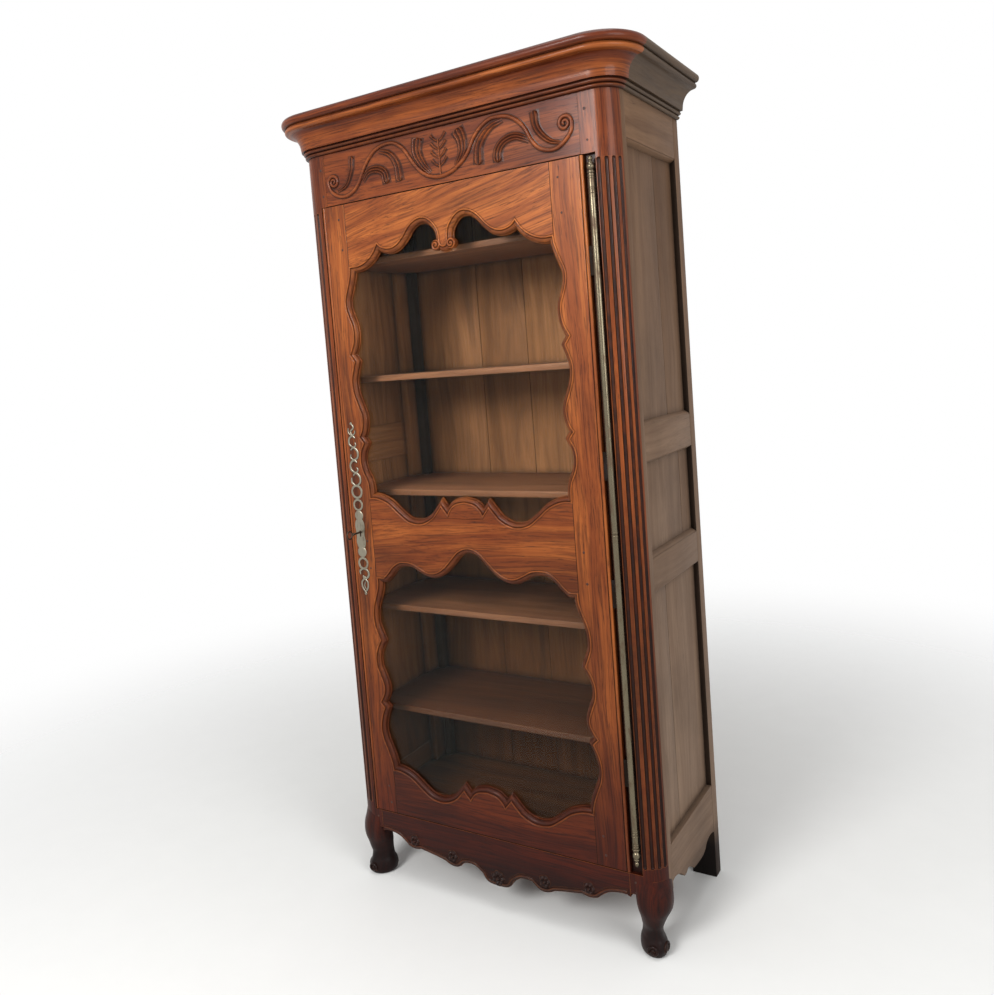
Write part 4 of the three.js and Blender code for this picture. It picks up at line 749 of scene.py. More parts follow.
class Nodes:
    """Adds nodes to a tree, each with its settings and its inputs given by name or number."""

    def __init__(self, tree):
        self.tree = tree
        tree.nodes.clear()

    def __call__(self, kind, inputs=None, **settings):
        node = self.tree.nodes.new(kind)
        for key, value in settings.items():
            setattr(node, key, value)
        self.feed(node, inputs or {})
        return node

    def feed(self, node, inputs):
        """Links a node's inputs to sockets, or sets them to plain values."""
        for key, value in inputs.items():
            socket = node.inputs[key]
            if isinstance(value, bpy.types.NodeSocket):
                self.tree.links.new(value, socket)
            else:
                socket.default_value = (*value, 1) if socket.type == "RGBA" else value

    def math(self, operation, a, b=0):
        return self("ShaderNodeMath", {0: a, 1: b}, operation=operation).outputs[0]

    def times(self, a, b):
        return self.math("MULTIPLY", a, b)

    def plus(self, a, b):
        return self.math("ADD", a, b)

    def most(self, a, b):
        return self.math("MAXIMUM", a, b)

    def vector(self, operation, inputs, output=0):
        return self("ShaderNodeVectorMath", inputs, operation=operation).outputs[output]

    def blend(self, factor, a, b, mode="MIX"):
        return self(
            "ShaderNodeMix", {0: factor, 6: a, 7: b},
            data_type="RGBA", blend_type=mode, clamp_factor=True,
        ).outputs[2]

    def tinted(self, factor, base, colour):
        """The base, multiplied by a colour as far as the factor says."""
        return self.blend(factor, base, self.blend(1, base, colour, "MULTIPLY"))

    def span(self, value, low, high, start=0, end=1, smooth=False):
        return self(
            "ShaderNodeMapRange", {0: value, 1: low, 2: high, 3: start, 4: end},
            interpolation_type="SMOOTHSTEP" if smooth else "LINEAR",
        ).outputs[0]

    def noise(self, place, scale, detail=3, roughness=0.55):
        return self("ShaderNodeTexNoise", {
            "Vector": place, "Scale": scale, "Detail": detail, "Roughness": roughness,
        }).outputs["Fac"]

    def streaks(self, place, scale, detail, roughness):
        """Noise drawn out along the grain."""
        return self.noise(self.stretched(place, scale), 1, detail, roughness)

    def stretched(self, place, scale):
        return self("ShaderNodeMapping", {"Vector": place, "Scale": scale}).outputs[0]

    def place(self):
        return self("ShaderNodeTexCoord").outputs["Object"]

    def height(self):
        return self("ShaderNodeSeparateXYZ", {0: self.place()}).outputs[2]

    def attribute(self, name, output="Fac"):
        return self("ShaderNodeAttribute", attribute_name=name).outputs[output]

    def bump(self, height, distance, strength):
        return self("ShaderNodeBump", {
            "Height": height, "Distance": distance, "Strength": strength,
        }).outputs["Normal"]

    def group(self, name, **inputs):
        return self("ShaderNodeGroup", inputs, node_tree=bpy.data.node_groups[name]).outputs


def add_sockets(tree, way, kind, labels):
    """Adds sockets of a kind to a group, with defaults where the labels come with them."""
    for label in labels:
        socket = tree.interface.new_socket(label, in_out=way, socket_type="NodeSocket" + kind)
        if isinstance(labels, dict):
            socket.default_value = labels[label]


def shader_group(name, inputs, outputs):
    """An empty shader group, the sockets that it is given, and its output node."""
    tree = bpy.data.node_groups.new(name, "ShaderNodeTree")
    add_sockets(tree, "INPUT", "Float", inputs)
    add_sockets(tree, "OUTPUT", "Float", outputs)
    nodes = Nodes(tree)
    return nodes, nodes("NodeGroupInput").outputs, nodes("NodeGroupOutput")


def grain_group():
    """Rings, streaks, fibres and pores of sawn wood, whose grain runs along the third axis."""
    nodes, given, out = shader_group(
        "Sawn grain", {"Rings": 55, "Waver": 0.035, "Pores": 0.5},
        ("Figure", "Streak", "Fibre", "Pores", "Cloud"),
    )
    span, times, streaks = nodes.span, nodes.times, nodes.streaks
    wood = nodes.attribute("grain", "Vector")
    slow = nodes.stretched(wood, (3.2, 3.2, 0.75))
    drift = nodes("ShaderNodeTexNoise", {"Vector": slow, "Scale": 1.6, "Detail": 2.5})
    centred = nodes.vector("SUBTRACT", {0: drift.outputs["Color"], 1: (0.5, 0.5, 0.5)})
    push = nodes.vector("SCALE", {0: centred, "Scale": times(given["Waver"], 10)})
    swayed = nodes.vector("ADD", {0: wood, 1: push})
    parts = nodes("ShaderNodeSeparateXYZ", {0: swayed}).outputs
    spread = nodes("ShaderNodeCombineXYZ", {
        0: times(parts[0], 0.8), 1: nodes.plus(parts[1], 0.11), 2: times(parts[2], 0.03),
    }).outputs[0]
    radius = nodes.vector("LENGTH", {0: spread}, "Value")
    ring = nodes.math("FRACT", times(radius, given["Rings"]))
    fall = span(ring, 0.86, 1, 1, 0, smooth=True)
    late = times(nodes.math("POWER", ring, 2.6), fall)
    cloud = streaks(wood, (7, 7, 1.7), 3, 0.6)
    shown = times(late, span(cloud, 0.35, 0.6, 0.15, 1))
    broad = streaks(swayed, (34, 34, 1.1), 4, 0.62)
    streak = streaks(swayed, (230, 230, 5.5), 5, 0.62)
    dashes = streaks(swayed, (560, 560, 26), 2, 0.5)
    pores = span(dashes, 0.6, 0.7, 0, 1, smooth=True)
    thick = times(pores, span(streak, 0.4, 0.6, 0.25, 1))
    figure = nodes.plus(times(shown, 0.45), span(broad, 0.3, 0.72))
    nodes.feed(out, {
        "Figure": nodes.math("MINIMUM", figure, 1), "Streak": span(streak, 0.32, 0.68),
        "Fibre": streaks(wood, (620, 620, 13), 2.5, 0.6),
        "Pores": times(thick, given["Pores"]), "Cloud": cloud,
    })


def wear_and_light_group():
    """Wax and painted shade in hollows, painted highlight on worn edges, patches and small dents.
    """
    nodes, given, out = shader_group(
        "Age and use", {"Reach": 0.012, "Arris": 0.0016}, ("Hollow", "Rubbed", "Patch", "Dents"),
    )
    span, times = nodes.span, nodes.times
    place = nodes.place()
    relief = nodes.attribute("relief")
    # Painted shade: occlusion darkens the hollows and the places between parts
    shade = nodes("ShaderNodeAmbientOcclusion", {"Distance": given["Reach"]}, samples=4)
    open_sky = shade.outputs["AO"]
    closed = span(open_sky, 0.35, 0.95, 1, 0)
    hollows_and_shade = nodes.most(closed, span(relief, -1, -0.05, 1, 0))
    broken = nodes.noise(place, 38, 4, 0.6)
    # Painted highlight, with wear, on the arrises that the bevel finds and on raised points
    eased = nodes("ShaderNodeBevel", {"Radius": given["Arris"]}, samples=4).outputs[0]
    true = nodes("ShaderNodeNewGeometry").outputs["Normal"]
    same = nodes.vector("DOT_PRODUCT", {0: eased, 1: true}, "Value")
    edge = span(same, 0.86, 0.995, 1, 0)
    edge = times(edge, span(open_sky, 0.55, 0.95))
    worn_highlight = nodes.most(edge, span(relief, 0.15, 1))
    cells = nodes("ShaderNodeTexVoronoi", {"Vector": place, "Scale": 55}, distance="EUCLIDEAN")
    dent = span(cells.outputs["Distance"], 0, 0.12, -1, 0, smooth=True)
    nodes.feed(out, {
        "Hollow": times(hollows_and_shade, span(broken, 0.25, 0.6, 0.65, 1)),
        "Rubbed": times(worn_highlight, span(broken, 0.3, 0.62, 0.25, 1)),
        "Patch": nodes.noise(place, 4.5, 5, 0.62),
        "Dents": times(dent, span(nodes.noise(place, 9, 2), 0.52, 0.62)),
    })


def new_material(name):
    material = bpy.data.materials.new(name)
    material.use_nodes = True
    nodes = Nodes(material.node_tree)
    surface = nodes("ShaderNodeBsdfPrincipled")
    nodes("ShaderNodeOutputMaterial", {"Surface": surface.outputs[0]})
    return nodes, surface


def front_wood(light, middle, dark):
    """Waxed walnut: orange brown, worn edges with painted highlights, hollows near black with wax
    and painted shade.
    """
    nodes, surface = new_material("Waxed front")
    blend, tinted, span, times = nodes.blend, nodes.tinted, nodes.span, nodes.times
    grain = nodes.group("Sawn grain", Rings=130, Waver=0.009, Pores=1)
    wear_and_light = nodes.group("Age and use", Reach=0.014, Arris=0.0018)
    height = nodes.height()
    tone = nodes.attribute("tone")
    base = blend(span(grain["Figure"], 0.15, 0.75), light, middle)
    base = blend(span(grain["Streak"], 0.42, 0.85, 0, 0.55, smooth=True), base, dark)
    base = blend(span(grain["Cloud"], 0.47, 0.72, 0, 0.6), base, dark)
    base = blend(span(grain["Fibre"], 0.3, 0.7, 0, 0.25), base, middle)
    base = blend(times(grain["Pores"], 0.8), base, blend(0.5, dark, (0.01, 0.004, 0.002)))
    # Darker towards the bottom, partly as painted shade
    base = tinted(span(height, 1.35, 0.2), base, srgb(128, 88, 58))
    base = tinted(span(wear_and_light["Patch"], 0.42, 0.7, 0, 0.55), base, srgb(190, 160, 150))
    # Tone per piece; along the cornice and round the escutcheon it carries painted shade
    base = tinted(span(tone, -1, 1.2), base, srgb(186, 162, 160))
    base = tinted(span(tone, 1.2, 2.4), base, srgb(146, 122, 116))
    # Painted shade near the floor
    base = tinted(span(height, 0.19, 0.06), base, srgb(124, 112, 108))
    # Painted highlight, with wear, on arrises and raised points
    base = blend(times(wear_and_light["Rubbed"], 0.45), base, blend(1, light, base, "SCREEN"))
    # Painted shade, with dark wax, in hollows and occluded places
    base = blend(times(wear_and_light["Hollow"], 0.92), base, srgb(26, 12, 8))
    rough = nodes.plus(span(grain["Fibre"], 0.2, 0.8, 0.3, 0.48), times(wear_and_light["Hollow"], 0.2))
    relief = nodes.plus(times(grain["Fibre"], 0.35), times(grain["Pores"], -1))
    relief = nodes.plus(relief, times(wear_and_light["Dents"], 2))
    nodes.feed(surface, {
        "Base Color": base, "Roughness": rough, "Normal": nodes.bump(relief, 0.00018, 0.7),
        "Specular IOR Level": 0.14, "Coat Weight": span(height, 1.8, 0.4, 0.14, 0.05),
        "Coat Roughness": 0.14,
    })


WHITE = (255, 255, 255)


def dry_wood(name, light, dark, scorch, roughness, specular, low=WHITE, high=WHITE):
    """Unwaxed wood with dust in its grain, tinted at the cabinet's low and high parts."""
    nodes, surface = new_material(name)
    blend, tinted, span, times = nodes.blend, nodes.tinted, nodes.span, nodes.times
    grain = nodes.group("Sawn grain", Rings=90, Waver=0.012, Pores=0.6)
    wear_and_light = nodes.group("Age and use", Reach=0.02, Arris=0.0016)
    height = nodes.height()
    base = blend(span(grain["Figure"], 0.2, 1, 0, 0.75), light, dark)
    base = blend(times(grain["Streak"], 0.35), base, dark)
    base = blend(span(grain["Cloud"], 0.4, 0.75, 0, 0.5), base, dark)
    base = blend(times(grain["Pores"], 0.6), base, scorch)
    base = blend(span(wear_and_light["Patch"], 0.45, 0.7, 0, 0.45), base, blend(0.5, base, scorch))
    base = tinted(span(nodes.attribute("tone"), -1, 1, 0, 0.45), base, srgb(198, 190, 184))
    base = tinted(span(height, 0.9, 2), base, srgb(*high))
    # The low tint is painted shade, darker towards the bottom of the cabinet
    base = tinted(span(height, 1.1, 0.4), base, srgb(*low))
    # Painted shade near the floor
    base = tinted(span(height, 0.17, 0.09), base, srgb(84, 64, 52))
    # Painted highlight, with wear, on arrises
    base = blend(times(wear_and_light["Rubbed"], 0.3), base, light)
    # Dirt and painted shade in the hollows
    base = blend(times(wear_and_light["Hollow"], 0.8), base, scorch)
    relief = nodes.plus(times(grain["Fibre"], 0.6), times(grain["Pores"], -1))
    nodes.feed(surface, {
        "Base Color": base, "Normal": nodes.bump(relief, 0.00025, 0.8),
        "Roughness": span(grain["Fibre"], 0.2, 0.8, roughness - 0.08, roughness + 0.08),
        "Specular IOR Level": specular,
    })


def aged_metal(name, bright, bloom, cover, roughness):
    """Polished metal with brown bloom in patches and in the hollows."""
    nodes, surface = new_material(name)
    blend, span, times = nodes.blend, nodes.span, nodes.times
    wear_and_light = nodes.group("Age and use", Reach=0.006, Arris=0.0008)
    place = nodes.place()
    fine = nodes.noise(place, 260, 5, 0.65)
    blotch = nodes.streaks(place, (60, 60, 18), 5, 0.65)
    rust = nodes.most(span(blotch, 0.62 - cover * 0.3, 0.78 - cover * 0.3), wear_and_light["Hollow"])
    rust = times(rust, span(fine, 0.3, 0.6, 0.5, 1))
    base = blend(span(blotch, 0.3, 0.7, 0, 0.45), bright, blend(0.5, bright, bloom))
    base = blend(rust, base, bloom)
    rough = span(fine, 0.2, 0.8, roughness - 0.08, roughness + 0.1)
    relief = nodes.plus(fine, times(rust, -0.6))
    nodes.feed(surface, {
        # Painted highlight, with wear, on edges and raised points
        "Base Color": blend(times(wear_and_light["Rubbed"], 0.5), base, bright),
        "Roughness": nodes.plus(rough, times(rust, 0.3)),
        "Metallic": span(rust, 0.2, 1, 1, 0.35), "Normal": nodes.bump(relief, 0.00012, 0.5),
    })


def old_glass(tint):
    """Thin old glass, faintly tinted and uneven, that lets light through to the shelves."""
    nodes, surface = new_material("Old glass")
    place = nodes.place()
    ripple = nodes.streaks(place, (5, 5, 2.2), 2, 0.4)
    dust = nodes.noise(place, 30, 5, 0.6)
    nodes.feed(surface, {
        "Base Color": nodes.blend(nodes.span(dust, 0.3, 0.8, 0, 0.06), tint, srgb(200, 196, 186)),
        "Roughness": nodes.span(dust, 0.3, 0.8, 0, 0.015), "Transmission Weight": 1,
        "IOR": 1.16, "Normal": nodes.bump(ripple, 0.002, 0.35),
    })
    path = nodes("ShaderNodeLightPath").outputs
    passed = nodes.most(path["Is Shadow Ray"], path["Is Diffuse Ray"])
    clear = nodes("ShaderNodeBsdfTransparent").outputs[0]
    mixed = nodes("ShaderNodeMixShader", {0: passed, 1: surface.outputs[0], 2: clear}).outputs[0]
    nodes.feed(nodes.tree.nodes["Material Output"], {"Surface": mixed})


def floor_paint(colour, radius):
    """Pale floor that thins out to nothing at its rim."""
    nodes, surface = new_material("Pale floor")
    place = nodes.place()
    away = nodes.vector("LENGTH", {0: place}, "Value")
    grit = nodes.noise(place, 9, 6, 0.6)
    worn = tuple(channel * 0.97 for channel in colour)
    nodes.feed(surface, {
        "Base Color": nodes.blend(nodes.span(grit, 0.3, 0.7, 0, 0.5), colour, worn),
        "Roughness": nodes.span(grit, 0.3, 0.7, 0.55, 0.7), "Specular IOR Level": 0.1,
        "Alpha": nodes.span(away, radius * 0.12, radius * 0.5, 1, 0, smooth=True),
    })


def white_room(level):
    """A world that is white to look at and plain in its light."""
    world = bpy.data.worlds.new("White room")
    bpy.context.scene.world = world
    world.use_nodes = True
    nodes = Nodes(world.node_tree)
    path = nodes("ShaderNodeLightPath").outputs
    seen = nodes.most(path["Is Glossy Ray"], path["Is Transmission Ray"])
    seen = nodes.most(path["Is Camera Ray"], seen)
    lit, white = (
        nodes("ShaderNodeBackground", {"Color": (1, 1, 1), "Strength": strength}).outputs[0]
        for strength in (level, 1)
    )
    mixed = nodes("ShaderNodeMixShader", {0: seen, 1: lit, 2: white}).outputs[0]
    nodes("ShaderNodeOutputWorld", {"Surface": mixed})


class BONNETIERE_OT_finishes(Operator):
    """Make the finishes of the wood, the metal and the glass"""
    bl_idname = "bonnetiere.finishes"
    bl_label = "Finishes"

    def execute(self, context):
        colours = sizes("colours")
        grain_group()
        wear_and_light_group()
        front_wood(colours.front_light, colours.front_middle, colours.front_dark)
        dry_wood(
            "Dry side", colours.side_light, colours.side_dark, srgb(44, 34, 27), 0.62, 0.15,
            high=(238, 222, 204),
        )
        # The low tints of the inner boards and the shelves are painted shade in the lower cabinet
        dry_wood(
            "Inner boards", colours.inner_light, colours.inner_dark, srgb(34, 20, 14), 0.6, 0.15,
            low=(150, 134, 122),
        )
        dry_wood(
            "Shelf wood", srgb(180, 120, 84), srgb(112, 70, 48), srgb(36, 20, 12), 0.5, 0.2,
            low=(128, 110, 98),
        )
        # Painted shade: the cornice's sides are darker than its front
        dry_wood("Cornice side", srgb(92, 70, 47), srgb(58, 42, 28), srgb(26, 18, 12), 0.5, 0.2)
        # Painted shade: the back posts' wood is made near black where they stand in shade
        dry_wood("Dark post", srgb(66, 50, 38), srgb(36, 26, 19), srgb(18, 12, 8), 0.6, 0.15)
        dry_wood("Peg wood", srgb(70, 36, 22), srgb(40, 20, 14), srgb(20, 10, 8), 0.5, 0.3)
        aged_metal("Hinge steel", colours.steel, colours.rust, 0.3, 0.26)
        # Painted shade: the hinge wings are near black where they lie in the recess
        aged_metal("Wing iron", srgb(34, 27, 22), srgb(26, 16, 12), 0.6, 0.55)
        aged_metal("Plate steel", colours.plate, colours.rust, 0.15, 0.36)
        aged_metal("Lock iron", colours.iron, colours.rust, 0.4, 0.42)
        old_glass(colours.glass)
        return {"FINISHED"}


def placed(shares, x, wide, z, tall):
    """Shares of a width and a height as places, with the marks of their corners."""
    return [(x + s[0] * wide, z + s[1] * tall, *s[2:]) for s in shares]


def cornice_section():
    """The cornice's section as reach beyond the body and height, and each point's relief."""
    carcass = sizes("carcass")
    height = CORNICE_HIGH - CORNICE_LOW
    shares = placed(CORNICE_SHARES, 0, CORNICE_OUT, CORNICE_LOW, height)
    face = shaped_line(shares, 0.0016)
    back = [
        (CORNICE_BACK_SHARE * CORNICE_OUT, CORNICE_HIGH),
        (-carcass.ledge, CORNICE_LOW + carcass.ledge_height), (-carcass.ledge, CORNICE_LOW),
    ]
    # The relief follows the profile's bends: painted shade in its hollows, painted highlight on its
    # arrises
    turn = turns_of(face)
    turn[[0, -1]] = 0
    return [*map(tuple, face), *back], [*np.clip(turn * 1.1, -0.9, 0.75), *[0] * len(back)]


class BONNETIERE_OT_cornice(Operator):
    """Run the cornice round the front and both sides"""
    bl_idname = "bonnetiere.cornice"
    bl_label = "Cornice"

    def execute(self, context):
        corner = sizes("carcass").corner
        section, relief = cornice_section()
        steps = 28
        rings, grain = [], []
        along, last = 0, None
        for centre, start in ((-HALF_WIDTH + corner, 180), (HALF_WIDTH - corner, 270)):
            for i in range(steps + 1):
                angle = radians(start + 90 * i / steps)
                if last is not None:
                    turned = (corner + CORNICE_OUT / 2) * radians(90 / steps)
                    along += centre - last or turned
                last = centre
                rings.append([(
                    centre + (corner + out) * cos(angle),
                    FRONT + corner + (corner + out) * sin(angle), level,
                ) for out, level in section])
                grain.append([(level, out, along) for out, level in section])
        front = Shape()
        front.loft(rings, relief, section, grain=grain)
        made = piece("cornice_front_run", front, "Waxed front", "carcass", ("cornice_front",), None)
        tall = CORNICE_HIGH - CORNICE_LOW
        shares = [(vertex.co.z - CORNICE_LOW) / tall for vertex in made.data.vertices]
        set_tones(made.data, np.interp(shares, *zip(*CORNICE_SHADING)))
        side = Shape()
        levels = (FRONT + corner + 0.0002, BACK)
        rings = [[(HALF_WIDTH + out, y, level) for out, level in section] for y in levels]
        side.loft(rings, relief, section)
        for name, shape in (("right", side), ("left", side.mirrored())):
            node = f"cornice_{name}"
            piece(node + "_run", shape, "Cornice side", "carcass", (node,), "deep")
        board_from("cornice_back", "Inner boards", "level")
        return {"FINISHED"}


FLUTE_ANGLES = (11, 30, 48, 65)
FLUTE_END_SHARES = [0, 0.02, 0.08, 0.18, 0.32, 0.5, 0.7, 1, 1.3]


def flute_depth(distance, height, low, high, radius):
    """How deep a round-ended flute lies at a distance from its middle line."""
    past = max(low + radius - height, height - high + radius, 0)
    return sqrt(max(0, radius ** 2 - distance ** 2 - past ** 2))


def post_shaft():
    """The right front post above its leg, with four flutes on its rounded corner."""
    carcass = sizes("carcass")
    corner, radius = carcass.corner, carcass.flute
    low, high = APRON_HIGH + carcass.flute_foot, FRIEZE_LOW - carcass.flute_head
    levels = [carcass.leg_height * 0.8, low - 0.004]
    levels += [low + radius * share for share in FLUTE_END_SHARES]
    levels += [high - radius * share for share in FLUTE_END_SHARES[::-1]]
    levels += [high + 0.004, CORNICE_LOW]
    steps = 112
    rings, relief = [], []
    for level in levels:
        ring = [(POST_RIGHT, FRONT)]
        heights = [0]
        for i in range(steps + 1):
            degrees = 90 * i / steps
            angle = radians(degrees)
            gaps = [abs(corner * radians(degrees - middle)) for middle in FLUTE_ANGLES]
            depth = flute_depth(min(gaps), level, low, high, radius)
            reach = corner - depth
            ring.append((
                HALF_WIDTH - corner + reach * sin(angle), FRONT + corner - reach * cos(angle),
            ))
            fluted = low < level < high
            # Painted shade in the flutes and painted highlight on the ridges beside them
            beside = 0.32 if min(gaps) < 2 * radius else 0
            heights.append(0 if not fluted else -1 if depth > 0 else beside)
        ring += [(HALF_WIDTH, SIDE_FRONT), (POST_RIGHT, SIDE_FRONT)]
        relief += [*heights, 0, 0]
        rings.append([(x, y, level) for x, y in ring])
    shape = Shape()
    shape.loft(rings, relief, rings[0])
    return shape


def leg_ring(station):
    carcass = sizes("carcass")
    width = carcass.leg_width
    rise, reach_x, reach_y, wide, deep, rounded, drawn = station
    x1 = HALF_WIDTH + reach_x * width
    x0 = x1 - wide * width
    y0 = FRONT - reach_y * width
    y1 = y0 + deep * width
    most = min(x1 - x0, y1 - y0) / 2 - 0.0003
    small = most * rounded
    outer = small + min(carcass.corner, 2 * most) * (1 - rounded)
    ring = [
        *arc(x1 - outer, y0 + outer, outer, -90, 0, 24),
        *arc(x1 - small, y1 - small, small, 0, 90, 10),
        *arc(x0 + small, y1 - small, small, 90, 180, 10),
        *arc(x0 + small, y0 + small, small, 180, 270, 12),
    ]
    outermost = max((x - y) / 2 for x, y in ring)
    points = []
    for x, y in ring:
        inwards = (outermost - (x - y) / 2) * drawn
        points.append((x - inwards, y + inwards, rise * carcass.leg_height))
    return points


def spiral(cx, cz, radius, turns, start, facing, count=70, inner=0.12):
    """A flat spiral that winds in to its eye, as places in the plane of the carving."""
    points = []
    for i in range(count + 1):
        share = i / count
        angle = radians(start) + facing * 2 * pi * turns * share
        reach = radius * (1 - share) + radius * inner * share
        points.append((cx + reach * cos(angle), cz + reach * sin(angle)))
    return points


def leg():
    """The right cabriole leg with its knee and its scrolled toe."""
    carcass = sizes("carcass")
    width = carcass.leg_width
    shape = Shape()
    rings = [leg_ring(station) for station in curve_through(LEG_SHARES, 5)]
    shape.loft(rings, section=rings[0])
    for facing, (reach_x, reach_y, rise) in TOE_SHARES.items():
        x, y = HALF_WIDTH + reach_x * width, FRONT - reach_y * width
        z = rise * carcass.leg_height
        axis = "xy".index(facing)
        curl = spiral(0, 0, carcass.toe, 1.5, 200, -1, 60)
        path = [(x + along * axis, y + along * (1 - axis), z + up) for along, up in curl]
        shape.tube(path, np.linspace(0.0036, 0.0024, len(path)), 10, proud_axis=axis, relief=0.3)
    return shape


class BONNETIERE_OT_posts(Operator):
    """Raise the fluted front posts on their shaped legs, and the plain back posts"""
    bl_idname = "bonnetiere.posts"
    bl_label = "Posts and legs"

    def execute(self, context):
        carcass = sizes("carcass")
        gap, past = 0.0018, 0.01
        rebate_back = DOOR_BACK + 0.0016
        low, high = DOOR_LOW - gap, DOOR_HIGH + gap
        edge = HINGE_X + carcass.recess_margin
        inner = POST_LEFT + past
        keeper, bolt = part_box("lock_keeper"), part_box("lock_bolt")
        throw, slack = 0.017, Vector((0, 0.0015, 0.0015))
        mortise = bolt[0] - slack - Vector((throw, 0, 0)), bolt[1] + slack
        right = [
            ((POST_RIGHT - past, FRONT - past, low), (DOOR_RIGHT + gap, rebate_back, high)),
            ((DOOR_RIGHT - past, FRONT - past, low), (edge, FRONT + carcass.recess, high)),
        ]
        left = [
            ((DOOR_LEFT - gap, FRONT - past, low), (inner, rebate_back, high)),
            (keeper[0], (inner, keeper[1].y, keeper[1].z)),
            (mortise[0], (inner, mortise[1].y, mortise[1].z)),
        ]
        shaft, under = post_shaft(), leg()
        left_shaft = shaft.mirrored()
        left_shaft.points = [
            (POST_LEFT, y, z) if abs(x + POST_RIGHT) < 1e-6 else (x, y, z)
            for x, y, z in left_shaft.points
        ]
        for side, body, cutters, foot in (
            ("right", shaft, right, under), ("left", left_shaft, left, under.mirrored()),
        ):
            body = carved(body, [box_shape(*corners) for corners in cutters])
            # Painted shade in the rebate behind the door
            for i, (x, y, z) in enumerate(body.points):
                in_rebate = y > FRONT + 0.0015 and abs(x) < edge + 0.0005
                if in_rebate and low - 0.001 < z < high + 0.001:
                    body.relief[i] = -1
            node, look = f"front_post_{side}", {"tone": 0.9, "smooth": 50}
            dried(piece(node + "_shaft", body, "Waxed front", "carcass", (node,), **look))
            piece(f"front_leg_{side}", foot, "Waxed front", tone=0.5, smooth=50)
            dried(board_from(f"back_post_{side}", "Dark post", "up"))
        return {"FINISHED"}


def oblong(left, right, low, high):
    return [(left, low), (right, low), (right, high), (left, high)]


def frieze_places(shares):
    return placed(shares, MIDDLE, BETWEEN_POSTS, FRIEZE_LOW, FRIEZE_HEIGHT)


def sideways(ahead):
    return np.array([-ahead[1], ahead[0]])


def leaf(shape, line, root, tip, proud, ribs):
    """A leaf laid on the frieze: a ribbed blade that swells towards its rounded tip."""
    steps, count = 40, 8 * ribs
    path = even(curve_through(line), steps)
    widths = [root + (tip - root) * (i / steps) ** 0.8 for i in range(steps + 1)]
    rings, levels = [], []
    for i, (place, ahead) in enumerate(zip(path, headings(path))):
        share = i / steps
        round_tip = sqrt(max(0, 1 - max(0, (share - 0.9) / 0.1) ** 2)) * 0.94 + 0.06
        reach = sideways(ahead) * (0.56 * widths[i] * round_tip)
        swell = min(1, share * 4 + 0.2) * (0.6 + 0.4 * share) * (0.35 + 0.65 * round_tip)
        ring = []
        for k in range(count + 1):
            t = 2 * k / count - 1
            dome = sqrt(max(0, 1 - t ** 4))
            rib = 0.5 + 0.5 * cos(pi * (t + 1) * ribs + pi)
            x, z = place + reach * t
            ring.append((x, FRONT - proud * dome * (0.3 + 0.7 * rib) * swell, z))
            # Painted shade between the ribs and at the leaf's edges, lighter on the rib crests
            levels.append(-1 + 0.8 * dome * rib)
        for t in (1, -1):
            x, z = place + reach * t
            ring.append((x, FRONT + 0.002, z))
            levels.append(-0.9)
        rings.append(ring)
    section = [(k, 1) for k in range(count + 1)] + [(count, 0), (0, 0)]
    shape.loft(rings, levels, section)
    wax_and_shadow_rim(shape, path, [0.6 * width + 0.0026 for width in widths])


def wax_and_shadow_rim(shape, path, widths):
    """A thin dark edge round a carved piece: wax against the ground, and painted shadow beside it.
    """
    places = [(x, FRONT + 0.0001, z) for x, z in path]
    start = len(shape.points)
    shape.tube(places, widths, 12, flat=0.0005 / np.max(widths))
    shape.relief[start:] = [-0.85] * (len(shape.points) - start)


def fern(shape, proud):
    """The small fern between the frieze's two middle leaves."""
    stem = -0.004
    path = even(curve_through(frieze_places([(stem, 0.16), (stem, 0.5), (-0.006, 0.8)])), 24)
    shape.tube([(x, FRONT - 0.0012, z) for x, z in path], np.linspace(0.0022, 0.0012, 25), 8)
    for rise in (0.3, 0.45, 0.6, 0.74):
        for side in (-1, 1):
            line = frieze_places([
                (stem, rise), (stem + side * 0.018, rise + 0.07), (stem + side * 0.03, rise + 0.15),
            ])
            leaf(shape, line, 0.0035, 0.008, proud, 1)


class BONNETIERE_OT_frieze(Operator):
    """Carve the frieze with its vine, its leaves and its fern"""
    bl_idname = "bonnetiere.frieze"
    bl_label = "Frieze"

    def execute(self, context):
        carving = sizes("carving")
        shape = Shape()
        gap = sizes("door").fit
        left, right = POST_LEFT + gap, POST_RIGHT - gap
        board = oblong(left, right, FRIEZE_LOW, CORNICE_LOW)
        shape.slab(board, FRONT, RAIL_BACK, 0.0009, 0.0008, edge=-0.7)
        path = even(curve_through(frieze_places(VINE_SHARES)), 300)
        depth = FRONT - 0.0008
        for end, first, facing in ((0, 180, -1), (-1, 0, 1)):
            cx, cz = path[end] - (facing * carving.scroll, 0)
            eye = spiral(cx, cz, carving.scroll, carving.scroll_turns, first, facing)
            radii = np.linspace(carving.vine, carving.vine * 0.72, len(eye))
            shape.tube([(x, depth, z) for x, z in eye], radii, 14)
            wax_and_shadow_rim(shape, eye, carving.vine + 0.0026)
        shape.tube([(x, depth, z) for x, z in path], carving.vine, 14)
        wax_and_shadow_rim(shape, path, carving.vine + 0.003)
        for line, root, tip, ribs in LEAF_SHARES:
            root, tip = root * FRIEZE_HEIGHT, tip * FRIEZE_HEIGHT
            leaf(shape, frieze_places(line), root, tip, carving.leaf_proud, ribs)
        fern(shape, carving.leaf_proud * 0.6)
        piece("frieze", shape, "Waxed front", "carcass", ("frieze_rail",), "level", tone=0.8)
        return {"FINISHED"}


